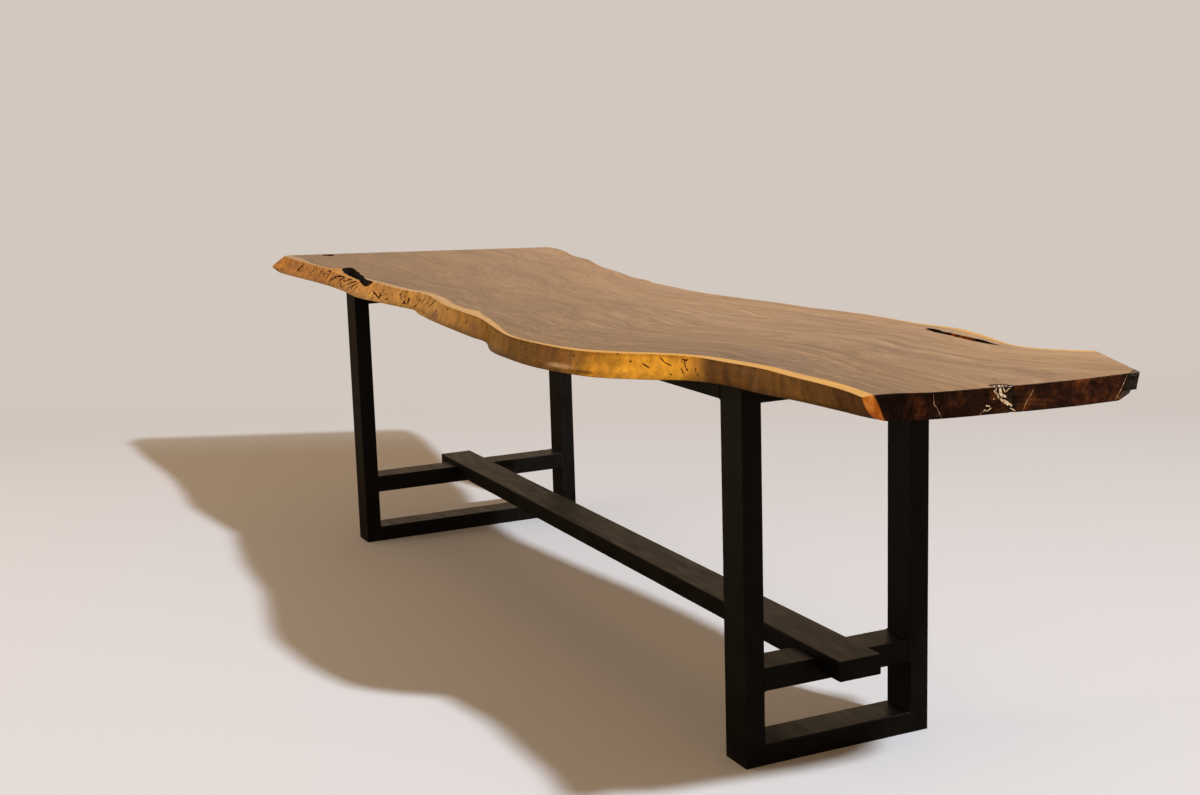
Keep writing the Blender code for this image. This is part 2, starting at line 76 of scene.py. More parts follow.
# Fibres wander over these lengths along, across and up, in millimetres, by up to half of these in metres
FIBRE_DRIFT_MM = (900.0, 385.0, 385.0)
FIBRE_STRAY = (0.0, 0.16, 0.24)
Colour = tuple[float, float, float, float]
Pair = tuple[float, float]
Triple = tuple[float, float, float]
Points = Sequence[Sequence[float]]


class Slot(Enum):
    """The record's material slots."""

    SLAB = "slab"
    RESIN = "resin"
    STEEL = "steel"
    FASTENERS = "fasteners"


class Face(Enum):
    """What each face of the slab is, as its material index."""

    SAWN = 0
    LIVE = 1
    END = 2
    HOLLOW = 3
    TRACK = 4
    CHECK = 5


def colour(code: str) -> Colour:
    """Turn an sRGB hex value such as "#c69a5b" into linear colour.

    Args:
        code: The hex value, with its hash sign.

    Returns:
        Red, green, blue and an alpha of 1.
    """
    parts = [int(code[i:i + 2], 16) / 255 for i in (1, 3, 5)]
    linear = [c / 12.92 if c <= 0.04045 else ((c + 0.055) / 1.055) ** 2.4 for c in parts]
    return (linear[0], linear[1], linear[2], 1.0)


def add_node(tree: NodeTree, kind: str, inputs: dict[Any, Any] | None = None,
             stops: Sequence[tuple[float, str]] = (), **settings: Any) -> Node:
    """Add a node with its settings and links.

    Args:
        tree: The node tree that gets the node.
        kind: The node's type name, which in a shader's tree leaves out "ShaderNode".
        inputs: Sockets by name or number: another node's socket is linked, any other value is set.
        stops: A colour ramp's places and hex colours.
        **settings: The node's own properties.

    Returns:
        The new node.
    """
    node = tree.nodes.new("ShaderNode" + kind if tree.bl_idname == "ShaderNodeTree" else kind)
    for name, value in settings.items():
        setattr(node, name, value)
    for key, value in (inputs or {}).items():
        if isinstance(value, NodeSocket):
            tree.links.new(value, node.inputs[key])
        else:
            node.inputs[key].default_value = value
    if stops:
        ramp = node.color_ramp
        while len(ramp.elements) < len(stops):
            ramp.elements.new(1.0)
        for element, (place, code) in zip(ramp.elements, stops):
            element.position = place
            element.color = colour(code)
    return node


def pattern_scale(*sizes_mm: float) -> tuple[float, ...]:
    """Return a pattern's scale along each axis, from its sizes in millimetres."""
    return tuple(1000 / size for size in sizes_mm)


def geometry_tree(name: str, inputs: dict[str, str]) -> tuple[NodeTree, dict[str, str]]:
    """Start a Geometry Nodes tree with named inputs.

    Args:
        name: The tree's name.
        inputs: Each input's socket type, by the input's name.

    Returns:
        The tree, and each input's identifier by its name.
    """
    tree = bpy.data.node_groups.new(name, "GeometryNodeTree")
    tree.interface.new_socket("Geometry", in_out="INPUT", socket_type="NodeSocketGeometry")
    keys = {}
    for label, kind in inputs.items():
        keys[label] = tree.interface.new_socket(label, in_out="INPUT", socket_type=kind).identifier
    tree.interface.new_socket("Geometry", in_out="OUTPUT", socket_type="NodeSocketGeometry")
    return tree, keys


def make_piece(name: str, mesh: Mesh, slot: Slot, nodes: Sequence[str] = ()) -> Object:
    """Put a finished mesh in the scene, on the table's body.

    Args:
        name: The piece's name.
        mesh: Its mesh, in place.
        slot: Not used.
        nodes: The CAD nodes that it stands for.

    Returns:
        The piece's object, at the origin.
    """
    piece = bpy.data.objects.new(name, mesh)
    bpy.context.scene.collection.objects.link(piece)
    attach(piece, BODY)
    if nodes:
        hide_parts(*nodes)
    LOG.info("%s: %d faces", name, len(mesh.polygons))
    return piece


def evaluated(obj: Object, name: str) -> Mesh:
    """Turn an object's modifiers into a plain mesh, and remove the object.

    Args:
        obj: The object with its modifiers.
        name: The new mesh's name.

    Returns:
        The plain mesh.
    """
    graph = bpy.context.evaluated_depsgraph_get()
    mesh = bpy.data.meshes.new_from_object(obj.evaluated_get(graph))
    mesh.name = name
    bpy.data.objects.remove(obj, do_unlink=True)
    return mesh


def smooth_curve(points: Points, steps: int = 24) -> np.ndarray:
    """Draw a smooth curve through points that may have any number of values each.

    Args:
        points: The points to pass through.
        steps: Samples between one point and the next.

    Returns:
        The samples, one row each.
    """
    given = np.asarray(points, float)
    padded = np.vstack([given[:1], given, given[-1:]])
    t = np.linspace(0, 1, steps, endpoint=False)[:, None]
    runs = []
    for a, b, c, d in zip(padded, padded[1:], padded[2:], padded[3:]):
        bend = (2 * a - 5 * b + 4 * c - d) * t + (3 * b - a - 3 * c + d) * t * t
        runs.append(b + 0.5 * t * (c - a + bend))
    return np.vstack(runs + [given[-1:]])


def spaced_evenly(curve: np.ndarray, count: int, scale: np.ndarray) -> np.ndarray:
    """Sample a curve again at even steps along its length.

    Args:
        curve: The curve, whose first two values are its place.
        count: How many samples to return.
        scale: What turns the place's two values into metres.

    Returns:
        The samples, one row each.
    """
    steps = np.linalg.norm(np.diff(curve[:, :2] * scale, axis=0), axis=1)
    along = np.concatenate([[0.0], np.cumsum(steps)])
    want = np.linspace(0, along[-1], count)
    return np.stack([np.interp(want, along, column) for column in curve.T], axis=1)


def rough(points: np.ndarray, grain: float, octaves: int = 4) -> np.ndarray:
    """Return fractal noise at points, from about -1 to 1.

    Args:
        points: The places, one row of three values each.
        grain: The size of the largest lumps, in metres.
        octaves: How many finer layers are added.

    Returns:
        One value for each point.
    """
    return np.array([noise.fractal(Vector(p) / grain, 1.0, 2.0, octaves) for p in points])


@dataclass(frozen=True)
class Finish:
    """A surface of one real material, with the values that its shader starts from."""

    name: str
    roughness: float = 0.5
    metallic: float = 0.0
    ior: float = 1.5
    specular: float = 0.5

    def material(self) -> Material:
        """Make the material and paint its nodes.

        Returns:
            The material.
        """
        material = bpy.data.materials.new(self.name)
        material.use_nodes = True
        shader = material.node_tree.nodes["Principled BSDF"]
        shader.inputs["Roughness"].default_value = self.roughness
        shader.inputs["Metallic"].default_value = self.metallic
        shader.inputs["IOR"].default_value = self.ior
        shader.inputs["Specular IOR Level"].default_value = self.specular
        self.paint(material.node_tree, shader)
        return material

    def paint(self, tree: NodeTree, shader: Node) -> None:
        """Add the nodes that give the surface its pattern."""
        raise NotImplementedError

    @staticmethod
    def wood_coordinates(tree: NodeTree) -> NodeSocket:
        """Return coordinates along the grain, across it and up, which wander as fibres do.

        Args:
            tree: The material's node tree.

        Returns:
            A vector socket in metres. Across follows the slab's live edges, from the attribute "across".
        """
        place = add_node(tree, "TexCoord").outputs["Object"]
        axes = add_node(tree, "SeparateXYZ", {0: place})
        across = add_node(tree, "Attribute", attribute_name="across").outputs["Fac"]
        grain = add_node(tree, "CombineXYZ", {0: axes.outputs[0], 1: across, 2: axes.outputs[2]})
        slow = add_node(tree, "Mapping", {0: grain.outputs[0], "Scale": pattern_scale(*FIBRE_DRIFT_MM)})
        drift = add_node(tree, "TexNoise", {"Vector": slow.outputs[0], "Scale": 1.0, "Detail": 2.0})
        about = add_node(tree, "VectorMath", {0: drift.outputs["Color"], 1: (0.5, 0.5, 0.5)},
                         operation="SUBTRACT")
        wandering = add_node(tree, "VectorMath", {0: about.outputs[0], 1: FIBRE_STRAY, 2: grain.outputs[0]},
                             operation="MULTIPLY_ADD")
        return wandering.outputs[0]

    @staticmethod
    def growth_rings(tree: NodeTree, grain: NodeSocket, spacing_mm: float) -> NodeSocket:
        """Return uneven bands by distance from the tree's pith, which give arches on a flat-sawn face.

        Args:
            tree: The material's node tree.
            grain: Wood coordinates.
            spacing_mm: The usual width of a band.

        Returns:
            A value socket, from 0 to 1.
        """
        out = add_node(tree, "VectorMath", {0: grain, 1: (0.0, *PITH)}, operation="SUBTRACT")
        flat = add_node(tree, "VectorMath", {0: out.outputs[0], 1: (0.0, 1.0, 1.0)}, operation="MULTIPLY")
        radius = add_node(tree, "VectorMath", {0: flat.outputs[0]}, operation="LENGTH").outputs["Value"]
        count = add_node(tree, "Math", {0: radius, 1: 1000 / spacing_mm}, operation="MULTIPLY")
        along = add_node(tree, "SeparateXYZ", {0: grain}).outputs[0]
        spot = add_node(tree, "CombineXYZ", {0: count.outputs[0], 1: along})
        bands = add_node(tree, "TexNoise", {"Vector": spot.outputs[0], "Scale": 1.0, "Detail": 3.0,
                                            "Roughness": 0.55}, noise_dimensions="2D")
        return bands.outputs["Fac"]

    @staticmethod
    def fibres(tree: NodeTree, grain: NodeSocket, width_mm: float, length_mm: float,
               detail: float = 3.0) -> NodeSocket:
        """Return streaks along the grain.

        Args:
            tree: The material's node tree.
            grain: Wood coordinates.
            width_mm: A streak's width.
            length_mm: A streak's length.
            detail: How many finer layers the streaks have.

        Returns:
            A value socket, from 0 to 1.
        """
        scale = pattern_scale(length_mm, width_mm, width_mm)
        spot = add_node(tree, "Mapping", {0: grain, "Scale": scale})
        streaks = add_node(tree, "TexNoise",
                           {"Vector": spot.outputs[0], "Scale": 1.0, "Detail": detail, "Roughness": 0.6})
        return streaks.outputs["Fac"]


@dataclass(frozen=True)
class OiledWalnut(Finish):
    """Flat-sawn walnut, sanded fine and oiled: soft arches and streaks under a satin film."""

    ring_mm: float = 9.0
    # Widths and lengths of what runs along the grain
    streak_mm: Pair = (9.0, 420.0)
    pore_mm: Pair = (2.5, 55.0)
    patch_mm: Pair = (260.0, 900.0)
    vein_mm: Pair = (4.0, 520.0)
    band_mm: Pair = (70.0, 1100.0)

    def paint(self, tree: NodeTree, shader: Node) -> None:
        """Lay growth rings, fibres and pores over broad patches, with painted light across and along the
        top, and golden sapwood along the live edges.

        Args:
            tree: The material's node tree.
            shader: Its Principled shader.
        """
        grain = self.wood_coordinates(tree)
        rings = self.growth_rings(tree, grain, self.ring_mm)
        streaks = self.fibres(tree, grain, *self.streak_mm, 5.0)
        # Walnut's pores are 0.2 mm wide: they are drawn at 2.5 mm, as fine as the render shows
        pores = self.fibres(tree, grain, *self.pore_mm, 2.0)
        patches = self.fibres(tree, grain, *self.patch_mm)
        heart = add_node(tree, "ValToRGB", {0: rings},
                         [(0.28, "#533f31"), (0.42, "#836a54"), (0.56, "#9e8469"), (0.72, "#c0a482")])
        streak = add_node(tree, "ValToRGB", {0: streaks},
                          [(0.30, "#503c2f"), (0.44, "#836a54"), (0.56, "#9e846b"), (0.70, "#c9ad8b")])
        wood = add_node(tree, "Mix", {"Factor": 0.55, 6: heart.outputs[0], 7: streak.outputs[0]},
                        data_type="RGBA")
        patch = add_node(tree, "ValToRGB", {0: patches}, [(0.38, "#796b5e"), (0.62, "#b18f64")])
        wood = add_node(tree, "Mix", {"Factor": 0.30, 6: wood.outputs[2], 7: patch.outputs[0]},
                        data_type="RGBA")
        pore = add_node(tree, "MapRange", {0: pores, 1: 0.30, 2: 0.44, 3: 0.42, 4: 0.0})
        wood = add_node(tree, "Mix", {"Factor": pore.outputs[0], 6: wood.outputs[2], 7: colour("#634a37")},
                        data_type="RGBA")
        # Dark lines of late wood, 1 mm wide or less, drawn at 4 mm
        veins = self.fibres(tree, grain, *self.vein_mm, 2.0)
        line = add_node(tree, "MapRange", {0: veins, 1: 0.33, 2: 0.44, 3: 0.56, 4: 0.0})
        wood = add_node(tree, "Mix", {"Factor": line.outputs[0], 6: wood.outputs[2], 7: colour("#543b2c")},
                        data_type="RGBA")
        axes = add_node(tree, "SeparateXYZ", {0: grain})
        share = add_node(tree, "MapRange", {0: axes.outputs[0], 1: -HALF_LENGTH, 2: HALF_LENGTH})
        # Painted light: towards the far end the figure is mixed into a plain, lighter mean colour, standing
        # in for the sheen and the light that end lacks
        painted_far_lift = add_node(tree, "MapRange", {0: share.outputs[0], 3: 0.62, 4: 0.0})
        wood = add_node(tree, "Mix", {"Factor": painted_far_lift.outputs[0], 6: wood.outputs[2], 7: colour("#977e67")},
                        data_type="RGBA")
        # Painted light: the top is darkened towards the front and lifted towards the back, where the key
        # light falls from; broad bands of the wood's own tone run through it
        depth = add_node(tree, "MapRange", {0: axes.outputs[1], 1: -0.40, 2: 0.36, 3: 0.70, 4: 1.28})
        bands = self.fibres(tree, grain, *self.band_mm, 2.0)
        band = add_node(tree, "MapRange", {0: bands, 1: 0.3, 2: 0.7, 3: 0.86, 4: 1.14})
        dark = add_node(tree, "Math", {0: depth.outputs[0], 1: band.outputs[0]}, operation="MULTIPLY")
        wood = add_node(tree, "Mix", {"Factor": 1.0, 6: wood.outputs[2], 7: dark.outputs[0]},
                        data_type="RGBA", blend_type="MULTIPLY")
        gold = add_node(tree, "ValToRGB", {0: share.outputs[0]},
                        [(0.0, "#b29a78"), (0.35, "#bc9c76"), (0.55, "#caa470"), (0.78, "#d2a45c"),
                         (1.0, "#d6a95b")])
        tone = add_node(tree, "MapRange", {0: streaks, 1: 0.25, 2: 0.75, 3: 0.85, 4: 1.12})
        pale = add_node(tree, "Mix", {"Factor": 1.0, 6: gold.outputs[0], 7: tone.outputs[0]},
                        data_type="RGBA", blend_type="MULTIPLY")
        sap = self.sapwood(tree, streaks)
        mixed = add_node(tree, "Mix", {"Factor": sap, 6: wood.outputs[2], 7: pale.outputs[2]},
                         data_type="RGBA")
        tree.links.new(mixed.outputs[2], shader.inputs["Base Color"])
        sheen = add_node(tree, "MapRange", {0: streaks, 1: 0.3, 2: 0.7, 3: 0.50, 4: 0.40})
        tree.links.new(sheen.outputs[0], shader.inputs["Roughness"])
        bump = add_node(tree, "Bump", {"Strength": 0.25, "Distance": 0.0005, "Height": pores})
        tree.links.new(bump.outputs[0], shader.inputs["Normal"])

    @staticmethod
    def sapwood(tree: NodeTree, ragged: NodeSocket) -> NodeSocket:
        """Return 1 in the sapwood and 0 in the heartwood, from the attribute "sap" in metres.

        Args:
            tree: The material's node tree.
            ragged: A value that moves the line between them by a few millimetres.

        Returns:
            A value socket, from 0 to 1.
        """
        depth = add_node(tree, "Attribute", attribute_name="sap").outputs["Fac"]
        stray = add_node(tree, "Math", {0: ragged, 1: 0.012, 2: -0.006}, operation="MULTIPLY_ADD")
        edge = add_node(tree, "Math", {0: depth, 1: stray.outputs[0]}, operation="ADD")
        line = add_node(tree, "MapRange", {0: edge.outputs[0], 1: -0.002, 2: 0.002, 3: 1.0, 4: 0.0})
        return line.outputs[0]


@dataclass(frozen=True)
class BarkedSapwood(Finish):
    """The log's own outside, barked and oiled: golden, lumpy and scored by beetles."""

    foot: float = 0.9423
    foot_shade_height: float = 0.016
    lump_mm: float = 40.0
    flute_mm: Sequence[float] = (20.0, 20.0, 110.0)
    fleck_mm: float = 11.0
    # Bark stains: where they lie along the slab and up, their reach both ways, and their colour
    stains: Sequence[tuple[float, float, float, float, str]] = (
        (-0.107, 0.9563, 0.075, 0.013, "#6b5138"), (1.040, 0.9570, 0.060, 0.007, "#c9a57a"),
        (1.126, 0.9500, 0.030, 0.005, "#4a2d12"), (0.340, 0.9640, 0.050, 0.020, "#7c5630"),
    )

    def paint(self, tree: NodeTree, shader: Node) -> None:
        """Colour gold to brown along the slab, partly painted light and shade, with mottling, upright
        streaks, bark stains and painted shade at the foot.

        Args:
            tree: The material's node tree.
            shader: Its Principled shader.
        """
        place = add_node(tree, "TexCoord").outputs["Object"]
        axes = add_node(tree, "SeparateXYZ", {0: place})
        along = add_node(tree, "MapRange", {0: axes.outputs[0], 1: -HALF_LENGTH, 2: HALF_LENGTH})
        # Gold to brown along the slab: partly the wood's own tone, partly painted light and shade, the
        # bright gold and the dark stretches standing for where the edge faces or turns from the light
        edge_tone_and_painted_light = add_node(tree, "ValToRGB", {0: along.outputs[0]},
                        [(0.00, "#bd8038"), (0.20, "#c89042"), (0.33, "#d6a356"), (0.47, "#cc9f50"),
                         (0.55, "#a97c2d"), (0.62, "#8c641a"), (0.70, "#785412"), (0.752, "#805612"),
                         (0.783, "#d4962e"), (0.822, "#dd9f30"), (0.834, "#6d4916"), (0.90, "#785420"),
                         (0.965, "#5b3b18")])
        lumps = add_node(tree, "TexNoise",
                         {"Vector": place, "Scale": 1000 / self.lump_mm, "Detail": 5.0, "Roughness": 0.6})
        upright = add_node(tree, "Mapping", {0: place, "Scale": pattern_scale(*self.flute_mm)})
        flutes = add_node(tree, "TexNoise", {"Vector": upright.outputs[0], "Scale": 1.0, "Detail": 2.0})
        shade = add_node(tree, "Math", {0: flutes.outputs["Fac"], 1: 0.9, 2: lumps.outputs["Fac"]},
                         operation="MULTIPLY_ADD")
        tone = add_node(tree, "MapRange", {0: shade.outputs[0], 1: 0.68, 2: 1.22, 3: 0.60, 4: 1.28})
        wood = add_node(tree, "Mix", {"Factor": 1.0, 6: edge_tone_and_painted_light.outputs[0], 7: tone.outputs[0]},
                        data_type="RGBA", blend_type="MULTIPLY")
        fleck = add_node(tree, "TexNoise", {"Vector": place, "Scale": 1000 / self.fleck_mm, "Detail": 4.0})
        # Flecks are dense in the far half and sparse on the near one
        dense = add_node(tree, "MapRange", {0: along.outputs[0], 1: 0.45, 2: 0.62, 3: 0.7, 4: 0.3})
        spots = add_node(tree, "MapRange",
                         {0: fleck.outputs["Fac"], 1: 0.32, 2: 0.45, 3: dense.outputs[0], 4: 0.0})
        wood = add_node(tree, "Mix", {"Factor": spots.outputs[0], 6: wood.outputs[2], 7: colour("#7c4516")},
                        data_type="RGBA")
        # Painted shade: the edge darkens to half towards its foot, over its lowest stretch
        foot = add_node(tree, "MapRange",
                        {0: axes.outputs[2], 1: self.foot, 2: self.foot + self.foot_shade_height, 3: 0.5})
        wood = add_node(tree, "Mix", {"Factor": 1.0, 6: wood.outputs[2], 7: foot.outputs[0]},
                        data_type="RGBA", blend_type="MULTIPLY")
        for x, z, wide, high, tint in self.stains:
            away = add_node(tree, "VectorMath", {0: place, 1: (x, 0.0, z)}, operation="SUBTRACT")
            scaled = add_node(tree, "VectorMath", {0: away.outputs[0], 1: (1 / wide, 0.0, 1 / high)},
                              operation="MULTIPLY")
            reach = add_node(tree, "VectorMath", {0: scaled.outputs[0]},
                             operation="LENGTH").outputs["Value"]
            ragged = add_node(tree, "Math", {0: fleck.outputs["Fac"], 1: 1.6, 2: reach},
                              operation="MULTIPLY_ADD")
            stain = add_node(tree, "MapRange", {0: ragged.outputs[0], 1: 1.1, 2: 1.9, 3: 0.75, 4: 0.0})
            wood = add_node(tree, "Mix", {"Factor": stain.outputs[0], 6: wood.outputs[2], 7: colour(tint)},
                            data_type="RGBA")
        tree.links.new(wood.outputs[2], shader.inputs["Base Color"])
        bump = add_node(tree, "Bump", {"Strength": 0.5, "Distance": 0.0015, "Height": lumps.outputs["Fac"]})
        tree.links.new(bump.outputs[0], shader.inputs["Normal"])


@dataclass(frozen=True)
class EndGrain(Finish):
    """Walnut sawn across: it drinks oil, so it is chocolate dark and glossy, with warm clouds."""

    ring_mm: float = 7.0
    cloud_mm: float = 45.0

    def paint(self, tree: NodeTree, shader: Node) -> None:
        """Lay dark rings with warm patches, and orange sapwood at the corner.

        Args:
            tree: The material's node tree.
            shader: Its Principled shader.
        """
        grain = self.wood_coordinates(tree)
        rings = self.growth_rings(tree, grain, self.ring_mm)
        place = add_node(tree, "TexCoord").outputs["Object"]
        cloud = add_node(tree, "TexNoise",
                         {"Vector": place, "Scale": 1000 / self.cloud_mm, "Detail": 6.0, "Roughness": 0.68})
        heart = add_node(tree, "ValToRGB", {0: cloud.outputs["Fac"]},
                         [(0.35, "#160a06"), (0.48, "#2c160c"), (0.58, "#4a2611"), (0.74, "#8e481a")])
        dark = add_node(tree, "MapRange", {0: rings, 1: 0.35, 2: 0.60, 3: 0.55, 4: 1.1})
        wood = add_node(tree, "Mix", {"Factor": 1.0, 6: heart.outputs[0], 7: dark.outputs[0]},
                        data_type="RGBA", blend_type="MULTIPLY")
        # The front of the end is near black
        across = add_node(tree, "SeparateXYZ", {0: place}).outputs[1]
        depth = add_node(tree, "MapRange", {0: across, 1: -0.18, 2: -0.02, 3: 0.4, 4: 1.0})
        wood = add_node(tree, "Mix", {"Factor": 1.0, 6: wood.outputs[2], 7: depth.outputs[0]},
                        data_type="RGBA", blend_type="MULTIPLY")
        pale = add_node(tree, "ValToRGB", {0: cloud.outputs["Fac"]},
                        [(0.34, "#7a3c0c"), (0.46, "#a85c16"), (0.66, "#c27c34")])
        sap = OiledWalnut.sapwood(tree, cloud.outputs["Fac"])
        mixed = add_node(tree, "Mix", {"Factor": sap, 6: wood.outputs[2], 7: pale.outputs[0]},
                         data_type="RGBA")
        tree.links.new(mixed.outputs[2], shader.inputs["Base Color"])
        bump = add_node(tree, "Bump", {"Strength": 0.3, "Distance": 0.0006, "Height": rings})
        tree.links.new(bump.outputs[0], shader.inputs["Normal"])


@dataclass(frozen=True)
class RottedHeart(Finish):
    """The bare walls of a hollow: crumbled, nearly black, with some orange wood."""

    lump_mm: float = 20.0
    fresh: Triple = (1.435, 0.348, 0.995)

    def paint(self, tree: NodeTree, shader: Node) -> None:
        """Mix black and orange-brown in lumps, more orange where the crack is fresh.

        Args:
            tree: The material's node tree.
            shader: Its Principled shader.
        """
        place = add_node(tree, "TexCoord").outputs["Object"]
        gap = add_node(tree, "VectorMath", {0: place, 1: self.fresh}, operation="DISTANCE").outputs["Value"]
        lift = add_node(tree, "MapRange", {0: gap, 1: 0.03, 2: 0.09, 3: 0.22, 4: 0.0})
        lumps = add_node(tree, "TexNoise",
                         {"Vector": place, "Scale": 1000 / self.lump_mm, "Detail": 6.0, "Roughness": 0.7})
        value = add_node(tree, "Math", {0: lumps.outputs["Fac"], 1: lift.outputs[0]}, operation="ADD")
        wood = add_node(tree, "ValToRGB", {0: value.outputs[0]},
                        [(0.46, "#070403"), (0.58, "#170c06"), (0.66, "#6a340c"), (0.76, "#c8701c")])
        tree.links.new(wood.outputs[0], shader.inputs["Base Color"])
        bump = add_node(tree, "Bump", {"Strength": 0.8, "Distance": 0.003, "Height": lumps.outputs["Fac"]})
        tree.links.new(bump.outputs[0], shader.inputs["Normal"])


@dataclass(frozen=True)
class PowderCoat(Finish):
    """Black polyester powder baked on steel: an even satin skin with a faint orange peel."""

    haze_mm: Sequence[float] = (110.0, 25.0, 70.0)
    peel_mm: float = 3.0

    def paint(self, tree: NodeTree, shader: Node) -> None:
        """Vary black and gloss in soft patches, over an orange peel.

        Args:
            tree: The material's node tree.
            shader: Its Principled shader.
        """
        place = add_node(tree, "TexCoord").outputs["Object"]
        wiped = add_node(tree, "Mapping", {0: place, "Scale": pattern_scale(*self.haze_mm)})
        haze = add_node(tree, "TexNoise",
                        {"Vector": wiped.outputs[0], "Scale": 1.0, "Detail": 5.0, "Roughness": 0.6})
        black = add_node(tree, "ValToRGB", {0: haze.outputs["Fac"]}, [(0.35, "#060504"), (0.65, "#0b0907")])
        tree.links.new(black.outputs[0], shader.inputs["Base Color"])
        gloss = add_node(tree, "MapRange", {0: haze.outputs["Fac"], 1: 0.3, 2: 0.7, 3: 0.36, 4: 0.52})
        tree.links.new(gloss.outputs[0], shader.inputs["Roughness"])
        peel = add_node(tree, "TexNoise", {"Vector": place, "Scale": 1000 / self.peel_mm, "Detail": 2.0})
        bump = add_node(tree, "Bump", {"Strength": 0.12, "Distance": 0.0004, "Height": peel.outputs["Fac"]})
        tree.links.new(bump.outputs[0], shader.inputs["Normal"])


@dataclass(frozen=True)
class ZincPlate(Finish):
    """Steel with electroplated zinc: a dull bluish silver with faint clouds."""

    cloud_mm: float = 6.0

    def paint(self, tree: NodeTree, shader: Node) -> None:
        """Cloud the silver and its gloss in patches.

        Args:
            tree: The material's node tree.
            shader: Its Principled shader.
        """
        place = add_node(tree, "TexCoord").outputs["Object"]
        cloud = add_node(tree, "TexNoise", {"Vector": place, "Scale": 1000 / self.cloud_mm, "Detail": 4.0})
        silver = add_node(tree, "ValToRGB", {0: cloud.outputs["Fac"]}, [(0.3, "#9a9da2"), (0.7, "#c3c6c9")])
        tree.links.new(silver.outputs[0], shader.inputs["Base Color"])
        gloss = add_node(tree, "MapRange", {0: cloud.outputs["Fac"], 1: 0.3, 2: 0.7, 3: 0.30, 4: 0.45})
        tree.links.new(gloss.outputs[0], shader.inputs["Roughness"])


@dataclass(frozen=True)
class BarkResin(Finish):
    """Clear resin cast over loose bark: near black and glossy, with brown dust in it."""

    dust_mm: float = 8.0

    def paint(self, tree: NodeTree, shader: Node) -> None:
        """Cloud the dark resin with lumps of bark dust.

        Args:
            tree: The material's node tree.
            shader: Its Principled shader.
        """
        place = add_node(tree, "TexCoord").outputs["Object"]
        dust = add_node(tree, "TexNoise",
                        {"Vector": place, "Scale": 1000 / self.dust_mm, "Detail": 4.0, "Roughness": 0.65})
        tint = add_node(tree, "ValToRGB", {0: dust.outputs["Fac"]},
                        [(0.40, "#0c0907"), (0.60, "#2a1c11"), (0.78, "#6b563c")])
        tree.links.new(tint.outputs[0], shader.inputs["Base Color"])
        bump = add_node(tree, "Bump", {"Strength": 0.4, "Distance": 0.0015, "Height": dust.outputs["Fac"]})
        tree.links.new(bump.outputs[0], shader.inputs["Normal"])


@dataclass(frozen=True)
class BeetleTrack(Finish):
    """The floor of a beetle's track, packed with its dust: dark brown and dull."""

    dust_mm: float = 4.0

    def paint(self, tree: NodeTree, shader: Node) -> None:
        """Vary the brown in grains of dust.

        Args:
            tree: The material's node tree.
            shader: Its Principled shader.
        """
        place = add_node(tree, "TexCoord").outputs["Object"]
        dust = add_node(tree, "TexNoise", {"Vector": place, "Scale": 1000 / self.dust_mm, "Detail": 3.0})
        brown = add_node(tree, "ValToRGB", {0: dust.outputs["Fac"]}, [(0.35, "#2a170a"), (0.65, "#5a3415")])
        tree.links.new(brown.outputs[0], shader.inputs["Base Color"])


@dataclass(frozen=True)
class CheckFiller(Finish):
    """Pale filler rubbed into a drying check: cream, with the wood showing through."""

    flake_mm: float = 6.0

    def paint(self, tree: NodeTree, shader: Node) -> None:
        """Vary cream to tan in flakes.

        Args:
            tree: The material's node tree.
            shader: Its Principled shader.
        """
        place = add_node(tree, "TexCoord").outputs["Object"]
        flake = add_node(tree, "TexNoise", {"Vector": place, "Scale": 1000 / self.flake_mm, "Detail": 3.0})
        cream = add_node(tree, "ValToRGB", {0: flake.outputs["Fac"]},
                         [(0.35, "#8a6a44"), (0.50, "#cdb58c"), (0.65, "#e8dcc0")])
        tree.links.new(cream.outputs[0], shader.inputs["Base Color"])


@dataclass(frozen=True)
class GreyWood(Finish):
    """A weathered splinter under clear resin: charcoal with grey streaks, and glossy."""

    streak_mm: Sequence[float] = (16.0, 25.0, 6.0)
    slant: float = 35.0

    def paint(self, tree: NodeTree, shader: Node) -> None:
        """Streak grey over charcoal, slanting down towards the tip.

        Args:
            tree: The material's node tree.
            shader: Its Principled shader.
        """
        place = add_node(tree, "TexCoord").outputs["Object"]
        lean = add_node(tree, "Mapping", {0: place, "Rotation": (math.radians(self.slant), 0.0, 0.0),
                                          "Scale": pattern_scale(*self.streak_mm)})
        streak = add_node(tree, "TexNoise",
                          {"Vector": lean.outputs[0], "Scale": 1.0, "Detail": 4.0, "Roughness": 0.65})
        grey = add_node(tree, "ValToRGB", {0: streak.outputs["Fac"]},
                        [(0.40, "#0d0b0a"), (0.55, "#201b18"), (0.67, "#4a443e"), (0.80, "#948b82")])
        tree.links.new(grey.outputs[0], shader.inputs["Base Color"])
        bump = add_node(tree, "Bump", {"Strength": 0.3, "Distance": 0.001, "Height": streak.outputs["Fac"]})
        tree.links.new(bump.outputs[0], shader.inputs["Normal"])


